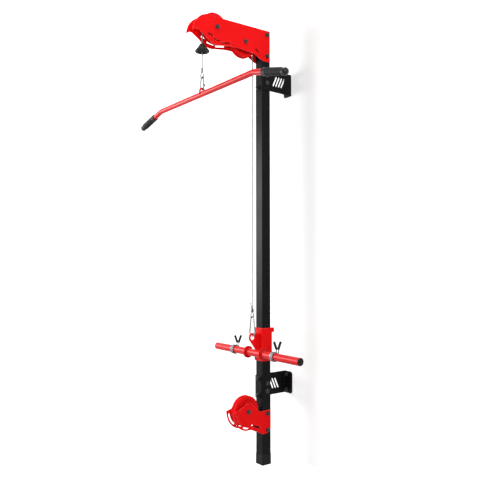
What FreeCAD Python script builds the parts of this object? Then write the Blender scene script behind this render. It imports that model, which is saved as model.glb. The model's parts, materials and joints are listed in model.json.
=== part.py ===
"""Wall-mounted cable pulley tower with a lat bar and a plate carriage, in millimetres.

The frame stands on the centre of the post's foot: +Z is up, -Y faces the user,
+Y faces the wall and +X is at the user's right hand. The driving sizes are in
the spreadsheet called Sizes, and every other size is worked out from them.
"""
import FreeCAD, Part
import Sketcher
import math
import os
import re

# --------------------------------------------------------------------------
# Driving sizes
# --------------------------------------------------------------------------
SIZES = {
    # square post, its plug and its foot
    "post_side": 50.0,
    "post_wall": 2.5,
    "post_corner": 3.0,
    "post_top": 2066.0,
    "plug_flange": 4.0,
    "plug_depth": 22.0,
    "plug_wall": 3.0,
    "foot_floor": 4.0,
    "foot_wall": 1.6,
    "foot_height": 48.0,
    # wall brackets: one bent sheet with a wall flange
    "bracket_sheet": 3.0,
    "bracket_height": 106.0,
    "bracket_lower_z": 360.5,
    "bracket_upper_drop": 235.5,
    "bracket_upper_z": "=post_top - bracket_upper_drop",
    "bracket_lap": 48.0,
    "wall_y": 162.0,
    "flange_width": 55.0,
    "flange_corner": 13.0,
    "vent_length": 46.0,
    "vent_width": 8.0,
    "vent_pitch": 17.0,
    "vent_lean": 25.0,
    "vent_y": 79.0,
    "knob_spacing": 77.0,
    "side_bolt_spacing": 36.0,
    "side_bolt_y": 2.0,
    "wall_screw_spacing": 73.0,
    "wall_screw_inset": 12.0,
    "wall_screw_x": "=post_side / 2 - wall_screw_inset",
    "wall_screw_reach": 50.0,
    "wall_shank": 1.0,
    "wall_thread_radius": 4.6,
    # fasteners
    "bolt_radius": 5.0,
    "bolt_play": 0.4,
    "hex_across": 17.0,
    "hex_thick": 6.5,
    "washer_radius": 11.0,
    "washer_thick": 2.0,
    "nut_thick": 8.0,
    "knob_radius": 12.5,
    "knob_height": 13.0,
    # pulley arms: pairs of side plates
    "arm_plate": 3.0,
    "arm_rise": 4.0,
    "arm_top": "=post_top + arm_rise",
    "arm_rear": 22.0,
    "front_axle_y": -289.0,
    "front_axle_drop": 54.5,
    "front_axle_z": "=arm_top - front_axle_drop",
    "rear_axle_y": -127.0,
    "rear_axle_drop": 84.0,
    "rear_axle_z": "=arm_top - rear_axle_drop",
    "low_axle_y": -111.0,
    "low_axle_z": 262.0,
    "nose_reach": 132.0,
    "nose_drop": 45.5,
    "hood_radius": 100.0,
    "lobe_radius": 85.0,
    "belly_drop": 45.0,
    "skirt_drop": 69.0,
    "slot_ring": 73.0,
    "slot_width": 8.0,
    "low_arm_top": 254.0,
    "low_arm_foot": 146.0,
    "low_nose_reach": 88.0,
    "arm_bolt_y": 4.0,
    "arm_bolt_drop_high": 22.0,
    "arm_bolt_drop_low": 125.0,
    "arm_bolt_high": "=arm_top - arm_bolt_drop_high",
    "arm_bolt_low": "=arm_top - arm_bolt_drop_low",
    "low_bolt_high": 238.0,
    "low_bolt_low": 161.5,
    # pulleys
    "pulley_radius": 70.0,
    "pulley_width": 24.0,
    "pulley_rim": 3.0,
    "web_thick": 12.0,
    "hub_radius": 24.0,
    "axle_radius": 6.0,
    "bearing_radius": 16.0,
    "bearing_width": 20.0,
    "running_play": 0.05,
    "side_play": 0.3,
    "spacer_radius": 10.0,
    # cable and what hangs on it
    "cable_radius": 2.5,
    "cable_track": 63.0,
    "cable_play": 0.3,
    "ferrule_drop": 195.5,
    "ferrule_top": "=front_axle_z - ferrule_drop",
    "ferrule_length": 20.0,
    "ferrule_radius": 5.6,
    "eye_radius": 9.0,
    "eye_drop": 17.0,
    "stop_drop": 85.5,
    "stop_top": "=front_axle_z - stop_drop",
    "stop_height": 37.0,
    "stop_radius": 32.5,
    "stop_neck": 11.0,
    # snap hooks: the small one at the bar, the large one at the carriage
    "bar_hook_wire": 3.25,
    "bar_hook_length": 60.0,
    "bar_hook_top": 9.0,
    "bar_hook_bottom": 14.0,
    "load_hook_wire": 4.0,
    "load_hook_length": 92.0,
    "load_hook_top": 11.0,
    "load_hook_bottom": 19.0,
    "gate_gap": 0.5,
    "gate_slim": 0.6,
    "gate_pin": 1.2,
    # lat bar
    "bar_radius": 12.5,
    "bar_wall": 2.0,
    "bar_bend_x": 371.0,
    "bar_end_x": 558.0,
    "bar_drop": 48.0,
    "bar_bend_radius": 90.0,
    "bar_eye_wire": 4.0,
    "bar_eye_radius": 12.0,
    "grip_length": 132.0,
    "grip_radius": 16.5,
    "cap_length": 13.0,
    # plate carriage
    "liner_thick": 3.0,
    "sleeve_side": "=post_side + 2 * liner_thick + 2 * sleeve_wall",
    "sleeve_wall": 3.0,
    "sleeve_corner": 5.0,
    "sleeve_bottom": 484.0,
    "sleeve_height": 155.0,
    "liner_height": 30.0,
    "liner_play": 0.35,
    "ear_reach": 11.0,
    "ear_height": 22.0,
    "fin_thick": 6.0,
    "fin_eye_z": 596.0,
    "fin_eye_hole": 11.5,
    "fin_eye_edge": 21.0,
    "rod_radius": 17.5,
    "rod_wall": 2.5,
    "rod_half": 308.0,
    "rod_z": 521.0,
    "rod_plug": 3.0,
    "disc_radius": 28.5,
    "disc_thick": 8.0,
    "disc_x": 55.0,
    # cable clamp at the carriage
    "clamp_height": 16.0,
    "tail_length": 30.0,
    # spring collars
    "collar_wire": 2.6,
    "collar_left_x": -165.0,
    "collar_right_x": 133.0,
    "collar_grip_radius": 4.2,
    "collar_grip_length": 30.0,
}

doc = FreeCAD.newDocument("pulley_tower")
sheet = doc.addObject("Spreadsheet::Sheet", "Sizes")
for row, (alias, number) in enumerate(SIZES.items(), start=1):
    sheet.set(f"A{row}", alias)
    sheet.set(f"B{row}", str(number))
    sheet.setAlias(f"B{row}", alias)
doc.recompute()

NODES = {}
UP = FreeCAD.Rotation()
ALONG_X = FreeCAD.Rotation(FreeCAD.Vector(0, 0, 1), FreeCAD.Vector(1, 0, 0))
ALONG_MINUS_X = FreeCAD.Rotation(FreeCAD.Vector(0, 0, 1), FreeCAD.Vector(-1, 0, 0))
ALONG_Y = FreeCAD.Rotation(FreeCAD.Vector(0, 0, 1), FreeCAD.Vector(0, 1, 0))
HALF_TURN_Y = FreeCAD.Rotation(FreeCAD.Vector(0, 1, 0), 180)


# --------------------------------------------------------------------------
# Expressions over the sheet
# --------------------------------------------------------------------------
def sized(text):
    """Write each size name in an expression as a reference to its cell."""
    def to_cell(match):
        word = match.group()
        return f"Sizes.{word}" if word in SIZES else word
    return re.sub(r"[a-z_][a-z_0-9]*", to_cell, str(text))


def value(text):
    """The number that an expression over the sheet has now."""
    result = sheet.evalExpression(sized(text))
    return float(getattr(result, "Value", result))


def bind(thing, **expressions):
    """Bind each named property of a document object to an expression."""
    for name, text in expressions.items():
        thing.setExpression(name, sized(text))


def place(thing, x="0", y="0", z="0", turn=UP):
    """Turn an object and bind its position to expressions."""
    thing.Placement = FreeCAD.Placement(FreeCAD.Vector(value(x), value(y), value(z)), turn)
    thing.setExpression(".Placement.Base.x", sized(x))
    thing.setExpression(".Placement.Base.y", sized(y))
    thing.setExpression(".Placement.Base.z", sized(z))


def node(label, thing):
    """Name a finished sub-part and remember it for export."""
    thing.Label = label
    NODES[label] = thing
    return thing


# --------------------------------------------------------------------------
# Primitives and booleans
# --------------------------------------------------------------------------
def rod(x, y, z, radius, length, turn=UP):
    """A solid cylinder that starts at a point and runs along the turned Z axis."""
    piece = doc.addObject("Part::Cylinder", "Rod")
    bind(piece, Radius=radius, Height=length)
    place(piece, x, y, z, turn)
    return piece


def hexagon(x, y, z, across, length, turn=UP):
    """A six-sided prism, given across its flats."""
    piece = doc.addObject("Part::Prism", "Hexagon")
    piece.Polygon = 6
    bind(piece, Circumradius=f"({across}) / sqrt(3)", Height=length)
    place(piece, x, y, z, turn)
    return piece


def ball(x, y, z, radius):
    """A sphere about a point."""
    piece = doc.addObject("Part::Sphere", "Ball")
    bind(piece, Radius=radius)
    place(piece, x, y, z)
    return piece


def block(x, y, z, length, width, height):
    """A box, from its lowest corner."""
    piece = doc.addObject("Part::Box", "Block")
    bind(piece, Length=length, Width=width, Height=height)
    place(piece, x, y, z)
    return piece


def join(*pieces):
    """Fuse touching pieces into one solid."""
    fused = doc.addObject("Part::MultiFuse", "Join")
    fused.Shapes = list(pieces)
    return fused


def cut(base, *tools):
    """Take the tools away from the base."""
    result = doc.addObject("Part::Cut", "Cut")
    result.Base = base
    result.Tool = tools[0] if len(tools) == 1 else join(*tools)
    return result


def common(first, second):
    """Keep only what two pieces share."""
    result = doc.addObject("Part::Common", "Common")
    result.Base = first
    result.Tool = second
    return result


def several(pieces):
    """Keep separate solids together, as one group of identical parts."""
    group = doc.addObject("Part::Compound", "Several")
    group.Links = list(pieces)
    return group


def pipe(points, radius, arcs=()):
    """A round bar along straight runs and tangent arcs.

    Each step goes on to the next point: straight, or through the middle point
    that arcs gives for it.
    """
    edges = []
    for index in range(len(points) - 1):
        first, last = points[index], points[index + 1]
        if index in arcs:
            edges.append(Part.Arc(first, arcs[index], last).toShape())
        else:
            edges.append(Part.LineSegment(first, last).toShape())
    path = Part.Wire(edges)
    direction = path.Edges[0].tangentAt(path.Edges[0].FirstParameter)
    section = Part.Wire([Part.makeCircle(radius, points[0], direction)])
    return path.makePipeShell([section], True, False)


def shaped(shape):
    """Keep a shape that Part's own functions made as an object of the document."""
    feature = doc.addObject("Part::Feature", "Shaped")
    feature.Shape = shape
    return feature


# --------------------------------------------------------------------------
# Bodies, sketches and features
# --------------------------------------------------------------------------
def new_body(label):
    """An empty PartDesign body."""
    return doc.addObject("PartDesign::Body", label)


def plane_of(part, role):
    """One of the body's own origin planes."""
    return next(item for item in part.Origin.OriginFeatures if item.Role == role)


def sketch_on(part, role, offset="0"):
    """An empty sketch on one of the body's origin planes, moved along its normal."""
    drawing = part.newObject("Sketcher::SketchObject", "Outline")
    drawing.AttachmentSupport = [(plane_of(part, role), "")]
    drawing.MapMode = "FlatFace"
    drawing.setExpression(".AttachmentOffset.Base.z", sized(offset))
    return drawing


def pin_point(drawing, edge, end, across, along):
    """Fix one end of an edge at two expressions from the sketch's origin."""
    for kind, text in (("DistanceX", across), ("DistanceY", along)):
        number = drawing.addConstraint(
            Sketcher.Constraint(kind, -1, 1, edge, end, value(text)))
        drawing.setExpression(f"Constraints[{number}]", sized(text))


def arc_between(first, last, radius, left):
    """The shorter arc of a radius between two points; left puts its centre on the left.

    The sketcher stores every arc anticlockwise, so a right-hand one starts at
    the last point.
    """
    middle = (first + last) * 0.5
    half = (last - first).Length / 2
    side = FreeCAD.Vector(-(last - first).y, (last - first).x, 0).normalize()
    if not left:
        side = side * -1
    inset = math.sqrt(max(radius * radius - half * half, 0.0))
    crown = middle + side * (inset - radius)
    return Part.Arc(first, crown, last) if left else Part.Arc(last, crown, first)


def draw_loop(drawing, steps):
    """Draw one closed loop.

    A step is (across, along) for a straight edge to the next point, with a
    third value for an arc: ("left" or "right", radius), or a half circle that
    bulges out of the loop with "cap" and into it with "dip".
    """
    points = [FreeCAD.Vector(value(step[0]), value(step[1]), 0) for step in steps]
    edges = []
    for index, step in enumerate(steps):
        first, last = points[index], points[(index + 1) % len(points)]
        bend = step[2] if len(step) > 2 else None
        if bend is None:
            curve = Part.LineSegment(first, last)
        elif bend in ("cap", "dip"):
            half = (last - first).Length / 2
            curve = arc_between(first, last, half, bend == "cap")
        else:
            curve = arc_between(first, last, value(bend[1]), bend[0] == "left")
        edges.append(drawing.addGeometry(curve, False))
    ends = []
    for index, edge in enumerate(edges):
        curve = drawing.Geometry[edge]
        start_is_first = (curve.StartPoint - points[index]).Length < 1e-6
        ends.append((1, 2) if start_is_first else (2, 1))
    for index, step in enumerate(steps):
        edge = edges[index]
        before = index - 1
        bend = step[2] if len(step) > 2 else None
        pin_point(drawing, edge, ends[index][0], step[0], step[1])
        drawing.addConstraint(Sketcher.Constraint(
            "Coincident", edges[before], ends[before][1], edge, ends[index][0]))
        if bend not in (None, "cap", "dip"):
            number = drawing.addConstraint(
                Sketcher.Constraint("Radius", edge, value(bend[1])))
            drawing.setExpression(f"Constraints[{number}]", sized(bend[1]))


def pad(part, drawing, length, backwards=False):
    """Raise a sketch into a solid."""
    feature = part.newObject("PartDesign::Pad", "Pad")
    feature.Profile = drawing
    bind(feature, Length=length)
    feature.Reversed = backwards
    doc.recompute()
    return feature


def pocket(part, drawing, length=None, backwards=False):
    """Cut a sketch away: through everything both ways, or to a depth."""
    before = part.Tip.Shape.Volume
    feature = part.newObject("PartDesign::Pocket", "Pocket")
    feature.Profile = drawing
    if length is None:
        feature.Type = "ThroughAll"
        feature.SideType = "Symmetric"
    else:
        bind(feature, Length=length)
        feature.Reversed = backwards
    doc.recompute()
    if feature.Shape.Volume > before - 1e-3:
        raise ValueError(f"a pocket of {part.Name} cuts nothing")
    return feature


def plate(part, role, steps, thickness, offset="0"):
    """Pad one closed outline on a plane of the body."""
    drawing = sketch_on(part, role, offset)
    draw_loop(drawing, steps)
    return pad(part, drawing, thickness)


def drill(part, role, centres, radius, offset="0", depth=None, backwards=False):
    """Cut round holes at a list of centres."""
    drawing = sketch_on(part, role, offset)
    for across, along in centres:
        circle = Part.Circle(FreeCAD.Vector(value(across), value(along), 0),
                             FreeCAD.Vector(0, 0, 1), value(radius))
        edge = drawing.addGeometry(circle, False)
        pin_point(drawing, edge, 3, across, along)
        number = drawing.addConstraint(Sketcher.Constraint("Radius", edge, value(radius)))
        drawing.setExpression(f"Constraints[{number}]", sized(radius))
    return pocket(part, drawing, depth, backwards)


def round_corners(part, corners, radius, axis):
    """Fillet the edges that stand along an axis at the given corners."""
    base = part.Tip
    shape = base.Shape
    names = []
    for number, edge in enumerate(shape.Edges, start=1):
        if len(edge.Vertexes) != 2:
            continue
        first, last = (vertex.Point for vertex in edge.Vertexes)
        if abs(abs((last - first).normalize().dot(axis)) - 1) > 1e-6:
            continue
        for corner in corners:
            target = FreeCAD.Vector(*(value(text) for text in corner))
            gap = target - first
            if (gap - axis * gap.dot(axis)).Length < 1e-3:
                names.append(f"Edge{number}")
    if len(names) < len(corners):
        raise ValueError(f"a corner of {part.Name} was not found")
    feature = part.newObject("PartDesign::Fillet", "Fillet")
    feature.Base = (base, names)
    bind(feature, Radius=radius)
    doc.recompute()
    return feature


AXIS_X = FreeCAD.Vector(1, 0, 0)
AXIS_Y = FreeCAD.Vector(0, 1, 0)
AXIS_Z = FreeCAD.Vector(0, 0, 1)


def rectangle(low_a, low_b, high_a, high_b):
    """The four steps of a rectangle."""
    return [(low_a, low_b), (high_a, low_b), (high_a, high_b), (low_a, high_b)]


def half_circle_slot(first, last, width):
    """The steps of a straight slot with round ends, between two end centres."""
    run = FreeCAD.Vector(value(last[0]) - value(first[0]), value(last[1]) - value(first[1]), 0)
    run.normalize()
    side = f"{-run.y} * ({width}) / 2", f"{run.x} * ({width}) / 2"
    return [
        (f"{first[0]} - ({side[0]})", f"{first[1]} - ({side[1]})"),
        (f"{last[0]} - ({side[0]})", f"{last[1]} - ({side[1]})", "cap"),
        (f"{last[0]} + {side[0]}", f"{last[1]} + {side[1]}"),
        (f"{first[0]} + {side[0]}", f"{first[1]} + {side[1]}", "cap"),
    ]


def on_circle(centre, radius, angle):
    """A point on a circle, as a pair of expressions; the angle is in degrees."""
    return (f"{centre[0]} + ({radius}) * cos({angle} deg)",
            f"{centre[1]} + ({radius}) * sin({angle} deg)")


def arc_slot(centre, radius, width, start, end):
    """The steps of a round-ended slot along a circle."""
    outer, inner = f"{radius} + {width} / 2", f"{radius} - {width} / 2"
    return [
        (*on_circle(centre, outer, start), ("left", outer)),
        (*on_circle(centre, outer, end), "cap"),
        (*on_circle(centre, inner, end), ("right", inner)),
        (*on_circle(centre, inner, start), "cap"),
    ]


def turned(part, steps):
    """Spin one closed outline round the X axis of the body."""
    drawing = sketch_on(part, "XZ_Plane")
    draw_loop(drawing, steps)
    feature = part.newObject("PartDesign::Revolution", "Turned")
    feature.Profile = drawing
    feature.ReferenceAxis = (drawing, ["H_Axis"])
    feature.Angle = 360
    doc.recompute()
    return feature


# --------------------------------------------------------------------------
# Post
# --------------------------------------------------------------------------
HALF = "post_side / 2"
SIDE_BOLT_HEIGHTS = [
    "bracket_lower_z - side_bolt_spacing / 2", "bracket_lower_z + side_bolt_spacing / 2",
    "bracket_upper_z - side_bolt_spacing / 2", "bracket_upper_z + side_bolt_spacing / 2",
]
KNOB_HEIGHTS = [
    "bracket_lower_z - knob_spacing / 2", "bracket_lower_z + knob_spacing / 2",
    "bracket_upper_z - knob_spacing / 2", "bracket_upper_z + knob_spacing / 2",
]
ARM_BOLT_HEIGHTS = ["low_bolt_low", "low_bolt_high", "arm_bolt_low", "arm_bolt_high"]
HOLE = "bolt_radius + bolt_play"


def make_post():
    """Square tube with its bolt holes, open at both ends."""
    part = new_body("Post")
    drawing = sketch_on(part, "XY_Plane", "foot_floor")
    draw_loop(drawing, rectangle(f"-{HALF}", f"-{HALF}", HALF, HALF))
    inside = f"({HALF} - post_wall)"
    draw_loop(drawing, rectangle(f"-{inside}", f"-{inside}", inside, inside))
    pad(part, drawing, "post_top - foot_floor")
    corners = [(a, b, "foot_floor") for a in (f"-{HALF}", HALF) for b in (f"-{HALF}", HALF)]
    round_corners(part, corners, "post_corner", AXIS_Z)
    side_holes = [("side_bolt_y", height) for height in SIDE_BOLT_HEIGHTS]
    side_holes += [("arm_bolt_y", height) for height in ARM_BOLT_HEIGHTS]
    drill(part, "YZ_Plane", side_holes, HOLE)
    drill(part, "XZ_Plane", [("0", height) for height in KNOB_HEIGHTS], HOLE)
    node("post", part)


def make_top_plug():
    """Plastic plug that closes the post's top, with a hollow skirt inside the tube."""
    part = new_body("TopPlug")
    drawing = sketch_on(part, "XY_Plane", "post_top")
    draw_loop(drawing, rectangle(f"-{HALF}", f"-{HALF}", HALF, HALF))
    pad(part, drawing, "plug_flange")
    corners = [(a, b, "post_top") for a in (f"-{HALF}", HALF) for b in (f"-{HALF}", HALF)]
    round_corners(part, corners, "post_corner", AXIS_Z)
    outer = f"({HALF} - post_wall)"
    inner = f"({HALF} - post_wall - plug_wall)"
    skirt = sketch_on(part, "XY_Plane", "post_top - 0.4 * plug_depth")
    draw_loop(skirt, rectangle(f"-{outer}", f"-{outer}", outer, outer))
    draw_loop(skirt, rectangle(f"-{inner}", f"-{inner}", inner, inner))
    pad(part, skirt, "0.4 * plug_depth")
    node("top_plug", part)


def make_foot_cap():
    """Plastic shoe over the post's foot."""
    part = new_body("FootCap")
    outer = f"({HALF} + foot_wall)"
    plate(part, "XY_Plane", rectangle(f"-{outer}", f"-{outer}", outer, outer), "foot_height")
    corners = [(a, b, "0") for a in (f"-{outer}", outer) for b in (f"-{outer}", outer)]
    round_corners(part, corners, "post_corner + foot_wall", AXIS_Z)
    inside = sketch_on(part, "XY_Plane", "foot_floor")
    draw_loop(inside, rectangle(f"-{HALF}", f"-{HALF}", HALF, HALF))
    pocket(part, inside, "foot_height", True)
    node("foot_cap", part)


# --------------------------------------------------------------------------
# Wall brackets and their fasteners
# --------------------------------------------------------------------------
def make_wall_bracket(label, height, turn):
    """One bent sheet: a lap on the post's front, a side plate and a wall flange.

    It is drawn about its own centre height with the side plate on the right. The
    flange turns in behind the post.
    """
    part = new_body(label)
    face = f"({HALF} + bracket_sheet)"
    half = "bracket_height / 2"
    edge = f"({face} - flange_width)"
    plate(part, "YZ_Plane", rectangle(f"-{face}", f"-{half}", "wall_y", half),
          "bracket_sheet", HALF)
    lap = sketch_on(part, "XZ_Plane", HALF)
    draw_loop(lap, rectangle(f"{face} - bracket_lap", f"-{half}", face, half))
    pad(part, lap, "bracket_sheet")
    flange = sketch_on(part, "XZ_Plane", "-wall_y")
    draw_loop(flange, rectangle(edge, f"-{half}", face, half))
    pad(part, flange, "bracket_sheet")
    round_corners(part, [(face, f"-{face}", "0"), (face, "wall_y", "0")], "bracket_sheet",
                  AXIS_Z)
    round_corners(part, [(edge, "wall_y", f"-{half}"), (edge, "wall_y", half)],
                  "flange_corner", AXIS_Y)
    vents = sketch_on(part, "YZ_Plane")
    for step in (-1.5, -0.5, 0.5, 1.5):
        middle = f"vent_y + {step} * vent_pitch"
        lean = "vent_length / 2 * sin(vent_lean)", "vent_length / 2 * cos(vent_lean)"
        draw_loop(vents, half_circle_slot((f"{middle} - {lean[0]}", f"-({lean[1]})"),
                                          (f"{middle} + {lean[0]}", f"{lean[1]}"),
                                          "vent_width"))
    pocket(part, vents)
    side_holes = [("side_bolt_y", f"{sign} * side_bolt_spacing / 2") for sign in (-1, 1)]
    drill(part, "YZ_Plane", side_holes, HOLE)
    lap_holes = [("0", f"{sign} * knob_spacing / 2") for sign in (-1, 1)]
    drill(part, "XZ_Plane", lap_holes, HOLE, face, "2 * bracket_sheet")
    wall_holes = [("wall_screw_x", f"{sign} * wall_screw_spacing / 2") for sign in (-1, 1)]
    drill(part, "XZ_Plane", wall_holes, HOLE, "bracket_sheet * 2 - wall_y", "4 * bracket_sheet")
    place(part, "0", "0", height, turn)
    node(label, part)


def hex_bolt(x, y, z, turn, grip, thread):
    """A hexagon bolt with its washer; the point is under the washer."""
    direction = turn.multVec(AXIS_Z)

    def along(distance):
        return [f"{base} + ({distance}) * {round(part, 6)}"
                for base, part in zip((x, y, z), direction)]
    shank = rod(x, y, z, "bolt_radius", f"{grip} + {thread}", turn)
    washer = rod(*along("-washer_thick"), "washer_radius", "washer_thick", turn)
    head = hexagon(*along("-washer_thick - hex_thick"), "hex_across", "hex_thick", turn)
    dome = ball(*along("hex_across * 0.42 - washer_thick - hex_thick"), "hex_across * 0.64")
    return join(shank, washer, common(head, dome))


def hex_nut(x, y, z, turn):
    """A nut with its washer; the point is on the face that the washer meets."""
    direction = turn.multVec(AXIS_Z)
    lift = [f"{base} + washer_thick * {round(part, 6)}"
            for base, part in zip((x, y, z), direction)]
    washer = rod(x, y, z, "washer_radius", "washer_thick", turn)
    body = hexagon(*lift, "hex_across", "nut_thick", turn)
    hole = rod(x, y, z, "bolt_radius", "washer_thick + nut_thick", turn)
    return cut(join(washer, body), hole)


def make_bracket_fasteners():
    """Bolts through the post, their nuts, and the screws into the wall."""
    face = f"({HALF} + bracket_sheet)"
    thread = "washer_thick + nut_thick + 4"
    side_bolts, nuts = [], []
    for index, height in enumerate(SIDE_BOLT_HEIGHTS):
        on_left = index < 2
        near, far = (HALF, face) if on_left else (face, HALF)
        side_bolts.append(hex_bolt(near, "side_bolt_y", height, ALONG_MINUS_X,
                                   f"{near} + {far}", thread))
        nuts.append(hex_nut(f"-{far}", "side_bolt_y", height, ALONG_MINUS_X))
    node("bracket_side_bolts", several(side_bolts))
    knobs = []
    for height in KNOB_HEIGHTS:
        shank = rod("0", f"-{face}", height, "bolt_radius",
                    f"{HALF} + {face} + {thread}", ALONG_Y)
        skirt = rod("0", f"-{face} - washer_thick", height, "knob_radius", "washer_thick",
                    ALONG_Y)
        cap = hexagon("0", f"-{face} - washer_thick - 0.5 * knob_height", height,
                      "1.7 * knob_radius", "0.5 * knob_height", ALONG_Y)
        dome = ball("0", f"-{face} - washer_thick - 0.2 * knob_height", height,
                    "0.8 * knob_height")
        nose = common(dome, rod("0", f"-{face} - washer_thick - 2 * knob_height", height,
                                "knob_radius", "2 * knob_height", ALONG_Y))
        knobs.append(join(shank, skirt, cap, nose))
        nuts.append(hex_nut("0", HALF, height, ALONG_Y))
    node("front_cap_bolts", several(knobs))
    node("bracket_nuts", several(nuts))
    for label, centre, side in (("lower_wall_screws", "bracket_lower_z", -1),
                                ("upper_wall_screws", "bracket_upper_z", 1)):
        screws = []
        for sign in (-1, 1):
            height = f"{centre} + {sign} * wall_screw_spacing / 2"
            across = f"{side} * wall_screw_x"
            screws.append(join(
                hex_bolt(across, "wall_y - bracket_sheet", height, ALONG_Y,
                         "bracket_sheet", "wall_shank"),
                rod(across, "wall_y", height, "wall_thread_radius", "wall_screw_reach",
                    ALONG_Y)))
        node(label, several(screws))


# --------------------------------------------------------------------------
# Pulley arms
# --------------------------------------------------------------------------
FRONT = ("front_axle_y", "front_axle_z")
REAR = ("rear_axle_y", "rear_axle_z")
LOW = ("low_axle_y", "low_axle_z")


def from_axle(axle, across, up):
    """A point at fixed distances from an axle, as a pair of expressions."""
    return f"{axle[0]} + ({across})", f"{axle[1]} + ({up})"


def upper_arm_outline():
    """Side view of an upper arm plate, from its rear foot round by the top."""
    return [
        ("arm_rear", "rear_axle_z - skirt_drop"),
        ("arm_rear", "arm_top"),
        ("front_axle_y + 39", "arm_top - 9"),
        ("front_axle_y - 50", "arm_top - 8.5", ("left", "hood_radius")),
        from_axle(FRONT, "-nose_reach", "-nose_drop"),
        from_axle(FRONT, "-0.87 * nose_reach", "-0.75 * nose_drop"),
        from_axle(FRONT, "-0.78 * nose_reach", "-0.74 * nose_drop"),
        (*on_circle(FRONT, "lobe_radius", 223), ("left", "lobe_radius")),
        on_circle(FRONT, "lobe_radius", 286),
        from_axle(FRONT, "76", "-73"),
        from_axle(REAR, "-58", "3.5 - belly_drop"),
        from_axle(REAR, "-23", "3.5 - belly_drop"),
        from_axle(REAR, "4", "-belly_drop"),
        from_axle(REAR, "53", "-belly_drop"),
        from_axle(REAR, "90", "5 - skirt_drop"),
        from_axle(REAR, "108", "-skirt_drop"),
    ]


def upper_arm_slots():
    """The slots along the lower edge of an upper arm plate."""
    return [
        half_circle_slot(from_axle(FRONT, "-50", "-41"), from_axle(FRONT, "-24", "-46.5"),
                         "slot_width"),
        half_circle_slot(from_axle(FRONT, "-19", "-60.5"), from_axle(FRONT, "12", "-63"),
                         "slot_width"),
        half_circle_slot(from_axle(FRONT, "28", "-68"), from_axle(FRONT, "72", "-58.5"),
                         "slot_width"),
        half_circle_slot(from_axle(REAR, "61", "-21"), from_axle(REAR, "78", "-33"),
                         "slot_width"),
    ]


def lower_arm_outline():
    """Side view of a lower arm plate, from its rear foot round by the top."""
    return [
        ("arm_rear - 10", "low_arm_foot + 6.5"),
        ("arm_rear", "low_arm_foot + 19"),
        ("arm_rear", "low_arm_top"),
        ("low_axle_y + 70", "low_arm_top - 1"),
        from_axle(LOW, "52", "4"),
        (*from_axle(LOW, "30", "27"), ("left", "40")),
        from_axle(LOW, "-24", "28"),
        from_axle(LOW, "-56", "15"),
        from_axle(LOW, "-low_nose_reach", "6"),
        (*on_circle(LOW, "lobe_radius", 188), ("left", "lobe_radius")),
        on_circle(LOW, "lobe_radius", 262),
        from_axle(LOW, "12", "-84"),
        from_axle(LOW, "41", "-92"),
        from_axle(LOW, "71", "-110"),
        ("low_axle_y + 83", "low_arm_foot"),
        ("low_axle_y + 110", "low_arm_foot"),
    ]


def lower_arm_slots():
    """The slots along the lower edge of a lower arm plate."""
    return [
        arc_slot(LOW, "slot_ring", "slot_width", 188, 231),
        arc_slot(LOW, "slot_ring", "slot_width", 248, 267),
        half_circle_slot(from_axle(LOW, "20", "-65"), from_axle(LOW, "64", "-82"),
                         "slot_width"),
    ]


def make_arm_plate(label, outline, slots, axles, bolt_heights, offset):
    """One laser-cut side plate with its slots, axle holes and post holes."""
    part = new_body(label)
    plate(part, "YZ_Plane", outline, "arm_plate", offset)
    drawing = sketch_on(part, "YZ_Plane")
    for steps in slots:
        draw_loop(drawing, steps)
    pocket(part, drawing)
    drill(part, "YZ_Plane", axles, "axle_radius + bolt_play")
    drill(part, "YZ_Plane", [("arm_bolt_y", height) for height in bolt_heights], HOLE)
    round_corners(part, [(offset, outline[1][0], outline[1][1])] if "upper" in label else
                  [(offset, outline[2][0], outline[2][1])], "6", AXIS_X)
    node(label, part)


def make_arms():
    """Both pairs of arm plates with the bolts that hold them to the post."""
    for side, offset in (("right", HALF), ("left", f"-{HALF} - arm_plate")):
        make_arm_plate(f"upper_arm_plate_{side}", upper_arm_outline(), upper_arm_slots(),
                       [FRONT, REAR], ARM_BOLT_HEIGHTS[2:], offset)
        make_arm_plate(f"lower_arm_plate_{side}", lower_arm_outline(), lower_arm_slots(),
                       [LOW], ARM_BOLT_HEIGHTS[:2], offset)
    face = f"({HALF} + arm_plate)"
    bolts = [hex_bolt(face, "arm_bolt_y", height, ALONG_MINUS_X, f"2 * {face}",
                      "washer_thick + nut_thick + 4") for height in ARM_BOLT_HEIGHTS]
    nuts = [hex_nut(f"-{face}", "arm_bolt_y", height, ALONG_MINUS_X)
            for height in ARM_BOLT_HEIGHTS]
    node("arm_post_bolts", several(bolts))
    node("arm_post_nuts", several(nuts))


# --------------------------------------------------------------------------
# Pulleys
# --------------------------------------------------------------------------
def pulley_outline():
    """Half section of a pulley: hub, web and grooved rim, across and out."""
    wide, web = "pulley_width / 2", "web_thick / 2"
    under_rim = "pulley_radius - 17"
    nest = "cable_radius + cable_play"
    return [
        (f"-{wide}", "bearing_radius"),
        (wide, "bearing_radius"),
        (wide, "hub_radius"),
        (web, "hub_radius"),
        (web, under_rim),
        (wide, under_rim),
        (wide, "pulley_radius"),
        (f"{wide} - pulley_rim", "pulley_radius"),
        (nest, "cable_track", "dip"),
        (f"-({nest})", "cable_track"),
        (f"pulley_rim - {wide}", "pulley_radius"),
        (f"-{wide}", "pulley_radius"),
        (f"-{wide}", under_rim),
        (f"-{web}", under_rim),
        (f"-{web}", "hub_radius"),
        (f"-{wide}", "hub_radius"),
    ]


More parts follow.
